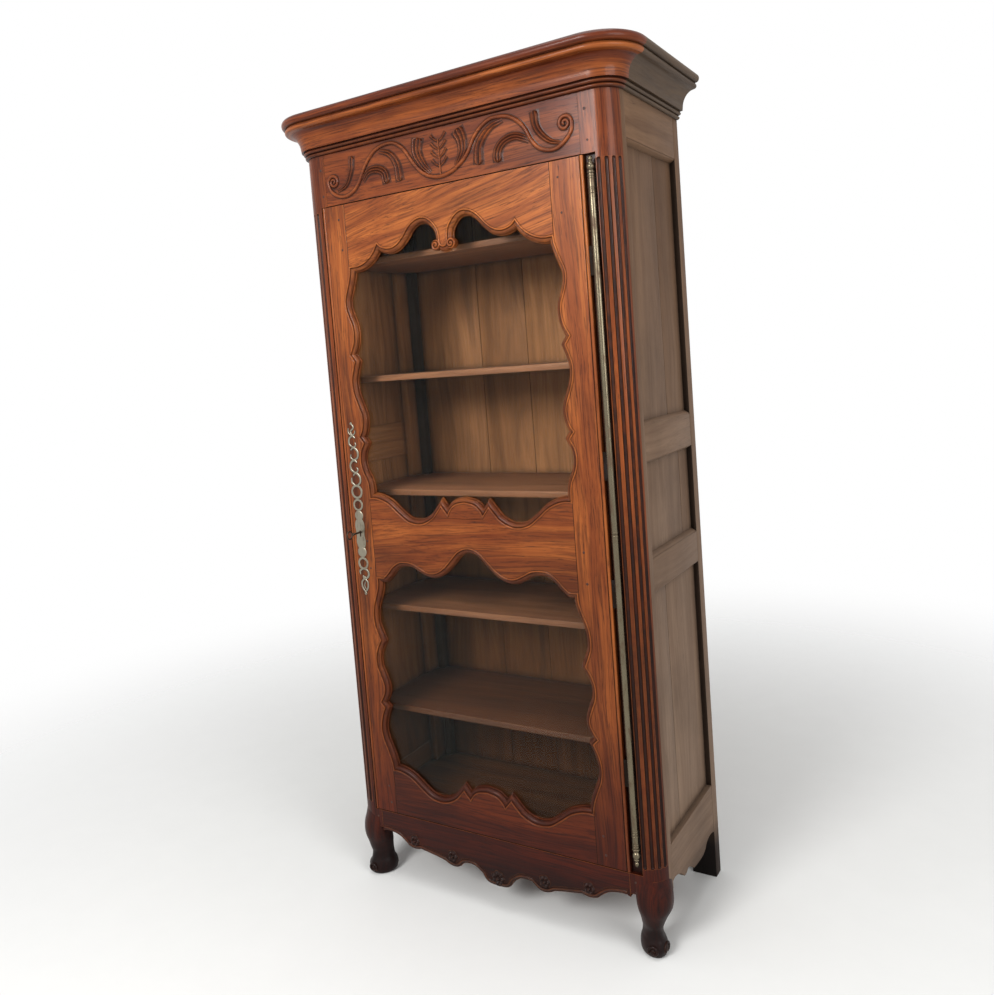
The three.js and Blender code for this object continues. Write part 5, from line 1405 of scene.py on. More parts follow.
def rosette(shape, x, z, radius, proud, petals):
    rows, around = 10, 60
    points, faces, levels = [(x, FRONT - proud, z)], fan(0, 1, around), [0.6]
    for i in range(1, rows + 1):
        share = i / rows
        eye = max(0, 1 - (share / 0.3) ** 2)
        swell = sin(min(1, max(0, (share - 0.3) / 0.62)) * pi)
        for k, (cosine, sine) in enumerate(circle(around)):
            lobe = 0.5 + 0.5 * cos(petals * 2 * pi * k / around + 0.6 * sine)
            reach = radius * share * (0.84 + 0.16 * lobe)
            petal = swell * (0.45 + 0.55 * lobe)
            height = proud * max(eye, 0.8 * petal, 0.18) if share < 1 else -0.002
            points.append((x + reach * cosine, FRONT - height, z + reach * sine))
            # Painted shade over the rosette, lighter on its eye and petals
            levels.append(-1 + 0.4 * max(eye, petal))
    last = 1 + (rows - 1) * around
    for start in range(1, last, around):
        faces += band(start, start + around, around)
    faces += fan(len(points), last, around)
    shape.shell([*points, (x, FRONT + 0.002, z)], faces, [*levels, 0])
    dab = [(x + radius * share, z) for share in (-0.25, 0, 0.25)]
    wax_and_shadow_rim(shape, even(np.array(dab), 8), radius * 0.95)


class BONNETIERE_OT_apron(Operator):
    """Shape the front apron with its edge bead and rosettes, and the side aprons"""
    bl_idname = "bonnetiere.apron"
    bl_label = "Aprons"

    def execute(self, context):
        carving = sizes("carving")
        half, depth = BETWEEN_POSTS / 2, APRON_HIGH - APRON_LOW
        line = shaped_line(placed(APRON_SHARES, 0, half, APRON_LOW, depth), 0.0045)
        edge = np.concatenate([(line * (-1, 1))[:0:-1], line]) + (MIDDLE, 0)
        gap = sizes("door").fit
        edge[0][0] += gap
        edge[-1][0] -= gap
        outline = [*edge, (edge[-1][0], APRON_HIGH), (edge[0][0], APRON_HIGH)]
        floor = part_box("floor_board")[0].z
        under_floor = [(x, z if z < floor else floor - 0.0003) for x, z in outline]
        shape = Shape()
        shape.slab(outline, FRONT, SPLIT, 0.0014, 0)
        shape.slab(under_floor, SPLIT, RAIL_BACK, 0, 0.001)
        ring = np.array(outline)
        inset = pushed_in(ring, inward(ring), carving.edge_inset)[:len(edge)]
        shape.tube([(x, FRONT, z) for x, z in inset], carving.edge_bead, 10)
        wax_and_shadow_rim(shape, inset, carving.edge_bead + 0.0022)
        for along, up, size, proud, petals in ROSETTES:
            for x in sorted({MIDDLE - along * half, MIDDLE + along * half}):
                radius = carving.rosette * size
                rosette(shape, x, APRON_LOW + up * depth, radius, proud, petals)
        piece("apron", shape, "Waxed front", "carcass", ("apron_rail",), "level", tone=0.8)
        self.side_aprons()
        return {"FINISHED"}

    def side_aprons(self):
        low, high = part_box("side_bottom_rail_right")
        length, tall = SIDE_BACK - SIDE_FRONT, 0.062
        shares = placed(SIDE_APRON_SHARES, SIDE_FRONT, length, low.z - 0.06 * tall, tall)
        outline = [*shaped_line(shares, 0.005), (SIDE_BACK, high.z), (SIDE_FRONT, high.z)]
        shape = Shape()
        shape.slab(outline, high.x, low.x, 0.0012, 0.0012, axis="x")
        for side, body in (("right", shape), ("left", shape.mirrored())):
            stands_for = (f"side_bottom_rail_{side}",)
            lined(piece(f"side_apron_{side}", body, "Dry side", "carcass", stands_for, "deep"))


# The side's rails with their groove's height over the lower edge, or under the upper one, and
# its panels with the place of their joint as a share of their depth
SIDE_RAILS = {"lower_middle": -0.0105, "upper_middle": -0.0105, "top": 0.0085}
SIDE_PANELS = {"lower": 0.34, "middle": 0.78, "upper": 0.6}
RAIL_GROOVE, PANEL_GROOVE = 0.0028, 0.0018


class BONNETIERE_OT_boards(Operator):
    """Lay the boards of the sides, the back, the top, the floor and the shelves"""
    bl_idname = "bonnetiere.boards"
    bl_label = "Boards"

    def execute(self, context):
        clear = 0.01
        for side in ("left", "right"):
            for label, inset in SIDE_RAILS.items():
                node = f"side_{label}_rail_{side}"
                low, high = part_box(node)
                z = low.z + inset if inset > 0 else high.z + inset
                groove = self.scored(low, high, low.y - clear, high.y + clear, z, z + RAIL_GROOVE)
                lined(board_from(node, "Dry side", "deep", cutters=[groove]))
            for label, share in SIDE_PANELS.items():
                node = f"side_{label}_panel_{side}"
                low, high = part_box(node)
                y = low.y + share * (high.y - low.y)
                groove = self.scored(low, high, y, y + PANEL_GROOVE, low.z - clear, high.z + clear)
                lined(board_from(node, "Dry side", "up", ease=0.0003, cutters=[groove]))
            for place in ("front", "back"):
                board_from(f"shelf_batten_{place}_{side}", "Inner boards", "up")
        backs = [f"back_board_{number}" for number in range(1, 5)]
        for node in backs:
            board_from(node, "Inner boards", "up")
        self.tongues(sorted(map(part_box, backs), key=lambda box: box[0].x))
        for node in ("back_bottom_rail", "back_top_rail", "top_board", "floor_board"):
            board_from(node, "Inner boards", "level")
        for number in range(1, 6):
            board_from(f"shelf_{number}", "Shelf wood", "level", ease=0.0012)
        return {"FINISHED"}

    def scored(self, low, high, front, back, bottom, top):
        """A cutter for a shallow groove in the outer face of a side board with that box."""
        deep, clear = sizes("carcass").score, 0.01
        near, far = (high.x - deep, high.x + clear) if high.x > 0 else (low.x - clear, low.x + deep)
        return box_shape((near, front, bottom), (far, back, top))

    def tongues(self, boards):
        """Loose tongues that close the joints between the back boards."""
        lap, half, short = 0.004, 0.0015, 0.001
        shape = Shape()
        for (low, high), (after, _) in zip(boards, boards[1:]):
            y = (low.y + high.y) / 2
            shape.block(
                (high.x - lap, y - half, low.z + short), (after.x + lap, y + half, high.z - short),
            )
        piece("back_tongues", shape, "Inner boards", tone=1)


class Opening:
    """A glazed opening's outline, where its corners are, and the rebate behind it."""

    def __init__(self, label):
        door = sizes("door")
        low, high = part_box(label + "_pane")
        self.half = (DOOR_RIGHT - door.hinge_stile - DOOR_LEFT - door.lock_stile) / 2
        self.centre = (DOOR_RIGHT - door.hinge_stile + DOOR_LEFT + door.lock_stile) / 2
        dip, self.rise = getattr(door, label + "_dip"), getattr(door, label + "_rise")
        slack = 0.0003
        self.left, self.right = low.x - slack, high.x + slack
        self.low, self.high = low.z - slack, high.z + slack
        sill = self.low + dip - door.mould + door.glass_lap
        self.head = self.high - self.rise + door.mould - door.glass_lap
        height = self.head - sill
        runs = [shaped_line(run, door.step) for run in (
            placed(SILL_SHARES, 0, self.half, sill, dip),
            placed(SIDE_SHARES[label], self.half, door.scallop, sill, height),
            placed(CROWN_SHARES[label], 0, self.half, self.head, self.rise),
        )]
        half = np.concatenate([runs[0][:-1], runs[1][:-1], runs[2]])
        mirrored = half[1:-1][::-1] * (-1, 1)
        self.ring = np.concatenate([half, mirrored]) + (self.centre, 0)
        self.push = inward(self.ring)
        count = len(self.ring)
        low = len(runs[0]) - 1
        high = low + len(runs[1]) - 1
        corners = [-low, low, high, count - high, count - low]
        self.parts = {
            part: [i % count for i in range(start, end + 1)]
            for part, start, end in zip(("sill", "right", "crown", "left"), corners, corners[1:])
        }

    def line(self, part, low=-inf, high=inf):
        """One side of the outline, kept between two levels of X."""
        return [(min(max(x, low), high), z) for x, z in self.ring[self.parts[part]]]

    def sticking(self, shape, part):
        """The moulding along one side, mitred at its ends."""
        section = sticking_section()
        lines = [pushed_in(self.ring, self.push, s[0])[self.parts[part]] for s in section]
        shape.loft([
            [(x, FRONT + s[1], z) for (x, z), s in zip(ring, section)] for ring in zip(*lines)
        ], [s[2] for s in section], section)


def sticking_section():
    """Bead, quirk and ovolo round an opening: offset inwards, depth and relief."""
    door = sizes("door")
    wide, deep = door.mould, door.mould_depth
    bead, quirk, out = 0.0024, 0.0058, -0.0012
    # The relief paints a highlight on the bead, and shade with wax in the quirk and over the ovolo
    section = [(out, 0.0006, -0.8), (-0.0002, 0.0001, -0.7)]
    for degrees in range(170, 360, 21):
        angle = radians(degrees)
        high = -sin(angle)
        section.append((bead * (1 + cos(angle)) + 0.0001, 0.0006 + bead * sin(angle), 0.5 * high))
    section += [(quirk - 0.0006, 0.0022, -0.9), (quirk, 0.0028, -1)]
    quirk += 0.0005
    section.append((quirk, 0.0019, -0.6))
    for i in range(1, 12):
        angle = radians(90 * i / 11)
        section.append((
            quirk + (wide - quirk - 0.0021) * sin(angle),
            0.0012 + (deep - 0.0038) * (1 - cos(angle)), 0.3 * sin(2 * angle) - 0.72,
        ))
    return section + [
        (wide - 0.0019, deep - 0.0016, -0.9), (wide - 0.0008, deep - 0.0014, -0.2),
        (wide, deep, 0.1), (wide, MOULDED, -0.3), (out, MOULDED, 0),
    ]


def volute(shape, x, z, radius, turn):
    """A round volute whose band winds in to a domed eye."""
    rows, around = 26, 96
    flat = circle(around)
    rings, levels = [], []
    for i in range(rows + 1):
        share = i / rows
        eye = max(0, 1 - (share / 0.26) ** 2)
        fall = sqrt(max(0.05, 1 - 0.85 * share ** 4))
        ring = []
        for k, (cosine, sine) in enumerate(flat):
            phase = 1.7 * share + turn * k / around
            swell = abs(sin(pi * (phase % 1)))
            height = 0.0085 * max(eye, 0.72 * swell ** 0.6 + 0.12) * fall
            reach = radius * share
            ring.append((x + reach * cosine, FRONT - height + 0.0024, z + reach * sine))
            # Painted shade between the band's turns, lighter on its crests and eye
            levels.append(-0.95 + 1.1 * max(eye, swell ** 1.5))
        rings.append(ring)
    for depth, share in ((0.006, 1), (0.0165, 0.96)):
        reach = radius * share
        rings.append([(x + reach * c, FRONT + depth, z + reach * s) for c, s in flat])
        levels += [-0.4] * around
    shape.loft(rings, levels, flat)


def rod_bead(shape, x0, x1, proud=0.0004, deep=0.0026):
    """A half-round bead up the edge of a stile."""
    radius = (x1 - x0) / 2
    section = [
        (x0 + radius + radius * cos(a), FRONT + deep - (deep + proud) * sin(a))
        for a in np.radians(np.linspace(0, 180, 15))
    ]
    section += [(x0, SPLIT + 0.0002), (x1, SPLIT + 0.0002)]
    # Painted highlight on the bead's crest
    relief = [0.5 * sin(pi * i / 14) - 0.1 for i in range(15)] + [0, 0]
    shape.loft([[(x, y, z) for x, y in section] for z in (DOOR_LOW, DOOR_HIGH)], relief, section)


# The bead up each stile's outer edge, and the quirk beside it
ROD_WIDE, QUIRK_WIDE, QUIRK_DEEP = 0.009, 0.0008, 0.0024


class BONNETIERE_OT_door(Operator):
    """Join the door's stiles and rails with their mouldings"""
    bl_idname = "bonnetiere.door"
    bl_label = "Door"

    def execute(self, context):
        upper, lower = Opening("upper"), Opening("lower")
        self.rail("top", upper, None, -0.9, 0.2)
        self.rail("middle", lower, upper, -0.6)
        self.rail("bottom", None, lower, 0.3)
        self.stile("lock", upper, lower)
        self.stile("hinge", upper, lower)
        for label in ("upper", "lower"):
            board_from(f"{label}_glazing_bead", "Inner boards", "up", "door", ease=0.0015)
            refinish_node(f"{label}_pane", "Old glass")
        return {"FINISHED"}

    def rail(self, label, below, above, tone, lean=0.03):
        """A rail between openings, or an opening and the door's edge, with its mouldings."""
        door = sizes("door")
        opening = below or above
        reach = opening.half - door.fit
        left, right = opening.centre - reach, opening.centre + reach
        low = below.high if below else DOOR_LOW
        high = above.low if above else DOOR_HIGH
        under = below.line("crown", left, right)[::-1] if below else [(left, low), (right, low)]
        over = above.line("sill", left, right)[::-1] if above else [(right, high), (left, high)]
        shape = Shape()
        shape.slab([*under, *over], FRONT, SPLIT, door.arris, edge=-0.9)
        shape.slab(oblong(left, right, low, high), SPLIT, DOOR_BACK, 0, door.arris)
        if below:
            below.sticking(shape, "crown")
        if above:
            above.sticking(shape, "sill")
        if label == "top":
            level = below.head + below.rise - door.volute_drop
            for side in (-1, 1):
                volute(shape, below.centre + side * door.volute_spread, level, door.volute, side)
        node = f"door_{label}_rail"
        look = {"lean": lean, "tone": tone, "smooth": 45}
        piece(node + "_moulded", shape, "Waxed front", "door", (node,), "level", **look)

    def stile(self, label, upper, lower):
        """A stile from the rails' joint to the door's outer edge."""
        door = sizes("door")
        side, part, outer = (-1, "left", DOOR_LEFT) if label == "lock" else (1, "right", DOOR_RIGHT)
        joint = upper.centre + side * (upper.half + door.fit)
        groove = outer - side * ROD_WIDE
        bound = (-inf, joint) if label == "lock" else (joint, inf)
        front = [(joint, DOOR_LOW)]
        back = [(joint, DOOR_LOW)]
        for opening in (lower, upper):
            front += opening.line(part, *bound)[::side]
            edge, low, high = getattr(opening, part), opening.low, opening.high
            back += [(joint, low), (edge, low), (edge, high), (joint, high)]
        front += [(joint, DOOR_HIGH)]
        edge = groove - side * QUIRK_WIDE
        front += [(edge, DOOR_HIGH), (edge, DOOR_LOW)]
        back += [(joint, DOOR_HIGH), (outer, DOOR_HIGH), (outer, DOOR_LOW)]
        keyhole = ()
        if label == "lock":
            keyhole = arc(KEY_X, KEY_Z, sizes("iron").keyhole, 0, 360, 32)[:-1]
        shape = Shape()
        shape.slab(front[::-side], FRONT, SPLIT, door.arris, 0, edge=-0.9, hole=keyhole)
        shape.slab(back[::-side], SPLIT, DOOR_BACK, 0, door.arris, hole=keyhole)
        near, far = sorted((groove - side * 0.001, groove))
        shape.block((near, FRONT + QUIRK_DEEP, DOOR_LOW), (far, SPLIT, DOOR_HIGH))
        rod_bead(shape, *sorted((outer, groove)))
        for opening in (upper, lower):
            opening.sticking(shape, part)
        node = f"door_{label}_stile"
        piece(node + "_moulded", shape, "Waxed front", "door", (node,), tone=-1, smooth=45)


def refinish_node(node, finish):
    materials = frame["nodes"][node].data.materials
    materials.clear()
    materials.append(bpy.data.materials[finish])


def ringed(low, high, radius, rings, ring_half=0.0012, proud=0.0016):
    """A barrel's profile with round rings at the given heights."""
    chamfer = 0.0006
    profile = [(radius - chamfer, low), (radius, low + chamfer)]
    for level in rings:
        for degrees in range(-90, 91, 30):
            angle = radians(degrees)
            profile.append((radius + proud * cos(angle), level + ring_half * sin(angle)))
    return profile + [(radius, high - chamfer), (radius - chamfer, high)]


FINIAL_SHARES = [
    (1, 0, 1), (1.22, 0.02), (1.25, 0.06), (1, 0.1, 1), (1, 0.14, 1), (0.75, 0.17), (0.8, 0.2),
    (1.1, 0.28), (1.22, 0.38), (1.1, 0.48), (0.85, 0.56, 1), (0.95, 0.58), (0.9, 0.62, 1),
    (0.5, 0.68), (0.5, 0.72), (0.72, 0.77), (0.74, 0.83), (0.6, 0.9), (0.35, 0.96), (0, 1, 1),
]
# Rings of the turning barrels, over their lower end and under their upper one
BARREL_RINGS = {"lower": ((0.003, 0.009), (0.0045,)), "upper": ((0.004,), (0.0095, 0.0035))}
BARREL_BORE = 0.0045
# The wings behind each barrel, as shares of its length, and how far they reach into the door
WING_SHARES = (0.2, 0.8)
WING_HALF, WING_LAP = 0.035, 0.012
# The knuckles: length, gap to the barrel, and rings next to the barrel and to the finial
KNUCKLE_TALL, BARREL_GAP = 0.036, 0.0003
NEAR_RING, FAR_RINGS = 0.004, (0.011, 0.006)


class BONNETIERE_OT_hinge(Operator):
    """Turn the long barrel hinge with its rings and finials"""
    bl_idname = "bonnetiere.hinge"
    bl_label = "Hinge"

    def execute(self, context):
        radius = sizes("iron").barrel
        for label, (over, under) in BARREL_RINGS.items():
            node = f"hinge_{label}_barrel"
            low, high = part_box(node)
            rings = [low.z + level for level in over] + [high.z - level for level in under]
            outer = ringed(low.z, high.z, radius, rings)
            self.turn(node, [(BARREL_BORE, low.z), *outer, (BARREL_BORE, high.z)], "door")
            levels = [low.z + (high.z - low.z) * share for share in WING_SHARES]
            spans = [(level - WING_HALF, level + WING_HALF) for level in levels]
            left, right = DOOR_RIGHT - WING_LAP, HINGE_X - BARREL_BORE
            self.wings(f"hinge_{label}_wings", left, right, spans, "door")
        for label in ("lower", "upper"):
            self.knuckle(label, radius)
        return {"FINISHED"}

    def turn(self, node, profile, body):
        shape = Shape()
        shape.turned(HINGE_X, HINGE_Y, profile)
        piece(node + "_turned", shape, "Hinge steel", body, (node,), smooth=40)

    def wings(self, name, left, right, spans, body):
        iron = sizes("iron")
        back = HINGE_Y + iron.barrel
        shape = Shape()
        for low, high in spans:
            shape.block((left, back - iron.wing, low), (right, back, high))
        piece(name, shape, "Wing iron", body)

    def knuckle(self, label, radius):
        """A fixed knuckle with its finial, next to the end of its barrel."""
        node = f"hinge_{label}_knuckle"
        low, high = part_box(node)
        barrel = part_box(f"hinge_{label}_barrel")
        if label == "lower":
            away, start, end = -1, barrel[0].z, low.z
        else:
            away, start, end = 1, barrel[1].z, high.z
        near = start + away * BARREL_GAP
        far = near + away * KNUCKLE_TALL
        rings = sorted([near + away * NEAR_RING, *(far - away * ring for ring in FAR_RINGS)])
        body = ringed(*sorted((near, far)), radius, rings)
        profile = [(0, near), *body[::away], *finial(far, end, radius)]
        self.turn(node, profile[::away], "carcass")
        span = sorted((near + away * 0.006, far))
        reach = sizes("carcass").recess_margin + 0.0015
        self.wings(f"hinge_{label}_fixed_wing", HINGE_X, HINGE_X + reach, [span], "carcass")


def finial(start, end, radius):
    shares = placed(FINIAL_SHARES, 0, radius, start, end - start)
    return [tuple(p) for p in shaped_line(shares, 0.0009)]


STRAP_STEPS = 28
STRAP_SECTION = [(-1, 0), (-0.95, 0.55), (-0.6, 0.92), (0, 1), (0.6, 0.92), (0.95, 0.55), (1, 0)]


def strap(shape, path, width, front, taper=0.35):
    rings = []
    for i, ((x, z), ahead) in enumerate(zip(path, headings(path))):
        share = i / STRAP_STEPS
        half = width / 2 * (1 - taper * abs(2 * share - 1) ** 2)
        side = sideways(ahead) * half
        rings.append([
            (x + side[0] * t, FRONT + (front - FRONT) * up, z + side[1] * t)
            for t, up in STRAP_SECTION
        ])
    # Painted highlight on the strap's crest and painted shade at its sides
    shape.loft(rings, [-0.3, 0, 0.4, 0.5, 0.4, 0, -0.3], STRAP_SECTION)


def washer(shape, x, z, outer, hole, front):
    """A pierced ring, or a solid domed knob, with a rounded rim."""
    rim = front + 0.0003
    section = [(outer, FRONT), (outer, FRONT + (rim - FRONT) * 0.5), (outer - 0.0005, rim)]
    if hole:
        section += [((outer + hole) / 2, front), (hole + 0.0004, rim)]
        section += [(hole, FRONT + (rim - FRONT) * 0.6), (hole, FRONT)]
    else:
        shares = (0.85, 0.6, 0.3, 0)
        section += [(outer * share, front - 0.0009 * (1 - share ** 2)) for share in shares]
        section += [(0, FRONT)]
    # Painted shade at the rim's foot and painted highlight on its top
    relief = [-0.3, 0, 0.3, 0.6] + [0.3] * (len(section) - 4)
    shape.turned(x, z, section, 40, "y", relief)


# Keyhole's slot: half width and drop. Key's bit: half width, start and end back from the tip
SLOT_HALF, SLOT_DROP = 0.0023, 0.0128
BIT_HALF, BIT_START, BIT_END = 0.0015, 0.0105, 0.0025
# The key's two collars: radius, and how far past the bow
COLLARS = [
    (0, -0.001), (0.0034, -0.0006), (0.0046, 0.0012), (0.0034, 0.003), (0.0032, 0.004),
    (0.0042, 0.0055), (0.0032, 0.007),
]


class BONNETIERE_OT_lock(Operator):
    """Cut the pierced escutcheon and forge the key"""
    bl_idname = "bonnetiere.lock"
    bl_label = "Escutcheon and key"

    def execute(self, context):
        iron = sizes("iron")
        width = iron.plate
        front = FRONT - iron.plate_thick
        shape, wax = Shape(), Shape()
        for rise, outer, hole in PLATE_KNOB_SHARES:
            z = KEY_Z + rise * width
            washer(shape, KEY_X, z, outer * width, hole * width, front)
            dab = [(KEY_X + along * width, z) for along in (-0.01, 0, 0.01)]
            wax_and_shadow_rim(wax, dab, outer * width + iron.wax)
        for line, wide in PLATE_STRAP_SHARES:
            path = even(curve_through(placed(line, KEY_X, width, KEY_Z, width), 12), STRAP_STEPS)
            strap(shape, path, wide * width, front)
            wax_and_shadow_rim(wax, path, wide * width / 2 + iron.wax)
        # Dark wax and painted shadow round the escutcheon
        piece("escutcheon_wax", wax, "Waxed front", "door", tone=2.4)
        outline = curve_through([*SHIELD_SHARES, SHIELD_SHARES[0]], 6)[:-1] * width
        shield, hole = Shape(), Shape()
        shield.slab(outline + (KEY_X, KEY_Z), front, FRONT, 0.0004)
        near, far = FRONT - 0.01, FRONT + 0.01
        hole.loft([
            [(KEY_X + iron.keyhole * c, y, KEY_Z + iron.keyhole * s) for c, s in circle(32)]
            for y in (near, far)
        ], section=circle(32))
        slot_low = (KEY_X - SLOT_HALF, near, KEY_Z - SLOT_DROP)
        slot = box_shape(slot_low, (KEY_X + SLOT_HALF, far, KEY_Z))
        shape.add(carved(shield, [hole, slot]))
        piece("escutcheon_plate", shape, "Plate steel", "door", ("escutcheon",), smooth=40)
        self.key(iron)
        for node in ("lock_case", "lock_bolt", "lock_keeper"):
            refinish_node(node, "Lock iron")
        return {"FINISHED"}

    def key(self, iron):
        """The key's bow, its stem with two collars, and its bit."""
        low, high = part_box("key")
        rod, stem, end = 0.0021, iron.stem, high.y
        centre, reach = low.y + iron.bow, iron.bow - rod
        shape, ring = Shape(), circle(64)
        loop = [(KEY_X, centre + reach * c, KEY_Z + reach * s) for c, s in [*ring, ring[0]]]
        shape.tube(loop, rod, 12, proud_axis=0)
        neck = centre + reach
        profile = [(radius, neck + past) for radius, past in COLLARS]
        profile += [(stem, neck + 0.009), (stem, end - 0.0005), (stem - 0.0005, end), (0, end)]
        shape.turned(KEY_X, KEY_Z, profile, 32, "y")
        bit_low = (KEY_X - BIT_HALF, end - BIT_START, low.z)
        shape.block(bit_low, (KEY_X + BIT_HALF, end - BIT_END, KEY_Z))
        piece("key_forged", shape, "Lock iron", "key", ("key",), smooth=45)


def stud_tree():
    """Points become round, slightly uneven heads that face the front."""
    tree = bpy.data.node_groups.new("Stud heads", "GeometryNodeTree")
    tree.is_modifier = True
    add_sockets(tree, "INPUT", "Geometry", ["Geometry"])
    add_sockets(tree, "INPUT", "Float", {"Radius": 0.0035, "Proud": 0.0008})
    add_sockets(tree, "INPUT", "Material", ["Finish"])
    add_sockets(tree, "OUTPUT", "Geometry", ["Geometry"])
    nodes = Nodes(tree)
    given = nodes("NodeGroupInput").outputs
    dome = nodes("GeometryNodeMeshUVSphere", {"Segments": 12, "Rings": 6, "Radius": 1})
    size = nodes("ShaderNodeCombineXYZ", {
        0: given["Radius"], 1: given["Proud"], 2: given["Radius"],
    })
    scaled = nodes("GeometryNodeTransform", {
        "Geometry": dome.outputs["Mesh"], "Scale": size.outputs[0],
    })
    uneven, turn = (
        nodes("FunctionNodeRandomValue", {2: low, 3: high, "Seed": seed}, data_type="FLOAT")
        for low, high, seed in ((0.82, 1.12, 7), (-0.3, 0.3, 11))
    )
    spin = nodes("ShaderNodeCombineXYZ", {1: turn.outputs[1]})
    heads = nodes("GeometryNodeInstanceOnPoints", {
        "Points": given["Geometry"], "Instance": scaled.outputs[0], "Rotation": spin.outputs[0],
        "Scale": uneven.outputs[1],
    })
    real = nodes("GeometryNodeRealizeInstances", {0: heads.outputs[0]})
    finished = nodes("GeometryNodeSetMaterial", {
        "Geometry": real.outputs[0], "Material": given["Finish"],
    })
    nodes("NodeGroupOutput", {0: finished.outputs[0]})
    return tree


def studs(name, tree, places, radius, proud, finish, body):
    """Heads at the given places as one mesh that rides on one body."""
    mesh = bpy.data.meshes.new(name)
    mesh.from_pydata(places, [], [])
    made = linked(name, mesh)
    modifier = made.modifiers.new("Studs", "NODES")
    modifier.node_group = tree
    given = {"Radius": radius, "Proud": proud, "Finish": bpy.data.materials[finish]}
    for item in tree.interface.items_tree:
        if item.name in given:
            modifier[item.identifier] = given[item.name]
    bake_modifiers(made)
    made.data.shade_smooth()
    return settle(made, body)


# Door's pegs: upper level and drop to the lower one. Posts' pegs: level and step aside
DOOR_PEGS = (
    (DOOR_HIGH - 0.04, 0.085), (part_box("upper_pane")[0].z - 0.06, 0.08), (DOOR_LOW + 0.08, 0.05),
)
POST_PEGS = (
    (CORNICE_LOW - 0.04, 0), (FRIEZE_LOW + 0.03, 0.003), (APRON_HIGH - 0.022, 0),
    (APRON_HIGH - 0.05, 0),
)
PEG_INSET, PEG_ASIDE, PEG_PROUD = 0.022, 0.004, 0.0005
# Rows of nails over the foot of the back boards, or under their head
NAIL_ROWS = (0.05, 0.025, -0.03, -0.06)
NAIL_MARGIN, NAIL_PROUD = 0.03, 0.0007


class BONNETIERE_OT_fixings(Operator):
    """Drive the pegs of the joints and the nails of the back"""
    bl_idname = "bonnetiere.fixings"
    bl_label = "Pegs and nails"

    def execute(self, context):
        iron = sizes("iron")
        door = sizes("door")
        tree = stud_tree()
        left = DOOR_LEFT + door.lock_stile - PEG_INSET
        right = DOOR_RIGHT - door.hinge_stile + PEG_INSET
        places = []
        for top, drop in DOOR_PEGS:
            for x in (left, right):
                places += [(x, FRONT, top), (x + PEG_ASIDE, FRONT, top - drop)]
        studs("door_pegs", tree, places, iron.peg, PEG_PROUD, "Peg wood", "door")
        rows = POST_LEFT - 0.014, POST_RIGHT + 0.016
        places = [(x + aside, FRONT, level) for x in rows for level, aside in POST_PEGS]
        studs("carcass_pegs", tree, places, iron.peg, PEG_PROUD, "Peg wood", "carcass")
        places = []
        chance = random.Random(5)
        for number in range(1, 5):
            low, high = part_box(f"back_board_{number}")
            for row in NAIL_ROWS:
                level = row + (low.z if row > 0 else high.z)
                for x in (low.x + NAIL_MARGIN, (low.x + high.x) / 2, high.x - NAIL_MARGIN):
                    aside = chance.uniform(-0.006, 0.006)
                    places.append((x + aside, BACK, level + chance.uniform(-0.005, 0.005)))
        studs("back_nails", tree, places, iron.nail, NAIL_PROUD, "Lock iron", "carcass")
        return {"FINISHED"}


CAMERA_PLACE = (1.2917, -2.1111, 1.5252)
CAMERA_TURN = (85.4694, 4.3517, 30.9914)
CAMERA_LENS = 31.646
CAMERA_SHIFT = (-0.00398, -0.0678)
# Each lamp's place, the place that it faces, and its size
LAMPS = {
    "key_light": ((-0.5, -3.9, 3), (0, 0, 1.2), 1.7),
    "fill_light": ((3.6, -1.6, 2.2), (0.2, 0, 1.1), 2.2),
    "top_light": ((0.3, -0.6, 4.6), (0, 0, 1.2), 2.6),
}


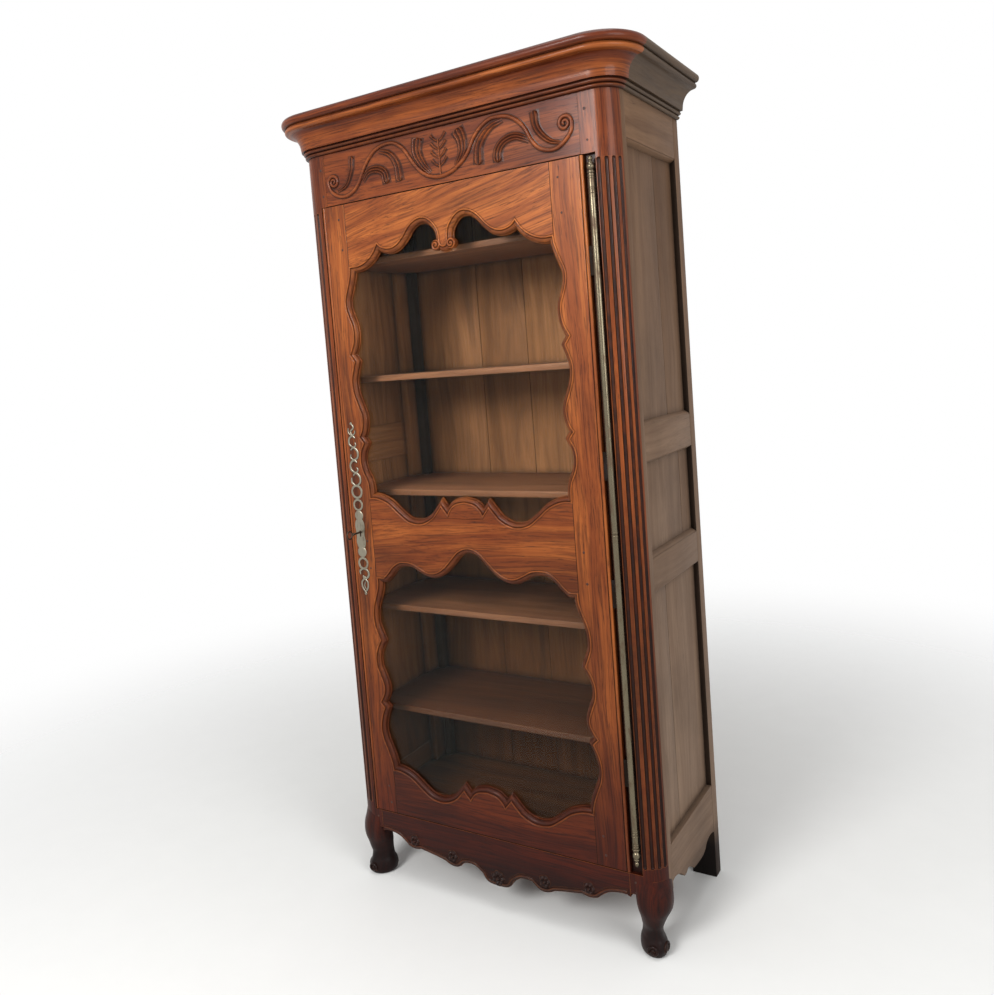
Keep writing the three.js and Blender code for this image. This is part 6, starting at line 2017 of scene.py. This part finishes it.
class BONNETIERE_OT_stage(Operator):
    """Set the floor, the soft lights and the camera"""
    bl_idname = "bonnetiere.stage"
    bl_label = "Stage"

    def execute(self, context):
        level = sizes("stage")
        floor_paint(sizes("colours").floor, level.floor)
        self.floor(level.floor)
        white_room(level.sky)
        for name, (place, target, size) in LAMPS.items():
            data = bpy.data.lights.new(name, "AREA")
            data.shape = "DISK"
            data.size = size
            data.energy = getattr(level, name)
            lamp = linked(name, data)
            lamp.location = place
            facing = (Vector(target) - Vector(place)).to_track_quat("-Z", "Y")
            lamp.rotation_euler = facing.to_euler()
        self.camera()
        context.scene.view_settings.view_transform = "Standard"
        return {"FINISHED"}

    def floor(self, radius):
        mesh = bpy.data.meshes.new("floor")
        rim = [(radius * c, radius * s, 0) for c, s in circle(96)]
        mesh.from_pydata(rim, [], [tuple(range(96))])
        mesh.materials.append(bpy.data.materials["Pale floor"])
        floor = linked("floor", mesh)

    def camera(self):
        data = bpy.data.cameras.new("camera")
        data.sensor_fit = "HORIZONTAL"
        data.sensor_width = 36
        data.lens = CAMERA_LENS
        data.shift_x, data.shift_y = CAMERA_SHIFT
        camera = linked("camera", data)
        camera.location = CAMERA_PLACE
        camera.rotation_euler = [radians(turn) for turn in CAMERA_TURN]
        bpy.context.scene.camera = camera


OPERATORS = (
    BONNETIERE_OT_finishes, BONNETIERE_OT_cornice, BONNETIERE_OT_posts, BONNETIERE_OT_frieze,
    BONNETIERE_OT_apron, BONNETIERE_OT_boards, BONNETIERE_OT_door, BONNETIERE_OT_hinge,
    BONNETIERE_OT_lock, BONNETIERE_OT_fixings, BONNETIERE_OT_stage,
)
STEPS = [operator.bl_idname.partition(".")[2] for operator in OPERATORS]
GROUPS = {
    "carcass": CarcassSizes, "door": DoorSizes, "carving": CarvingSizes, "iron": IronSizes,
    "colours": FinishColours, "stage": StageSizes,
}


class BONNETIERE_PT_panel(bpy.types.Panel):
    """Lists the steps that dress the cabinet, and its sizes"""
    bl_idname = "BONNETIERE_PT_panel"
    bl_label = "Bonnetiere"
    bl_space_type = "VIEW_3D"
    bl_region_type = "UI"
    bl_category = "Bonnetiere"

    def draw(self, context):
        column = self.layout.column()
        for step in STEPS:
            column.operator("bonnetiere." + step)
        for name in GROUPS:
            group = sizes(name)
            box = self.layout.box()
            for key in group.__annotations__:
                box.prop(group, key)


CLASSES = (*GROUPS.values(), *OPERATORS, BONNETIERE_PT_panel)


def register():
    for each in CLASSES:
        bpy.utils.register_class(each)
    for name, group in GROUPS.items():
        setattr(bpy.types.Scene, "bonnetiere_" + name, PointerProperty(type=group))


def unregister():
    for name in GROUPS:
        delattr(bpy.types.Scene, "bonnetiere_" + name)
    for each in reversed(CLASSES):
        bpy.utils.unregister_class(each)


def main():
    register()
    for step in STEPS:
        getattr(bpy.ops.bonnetiere, step)()


if __name__ == "__main__":
    main()
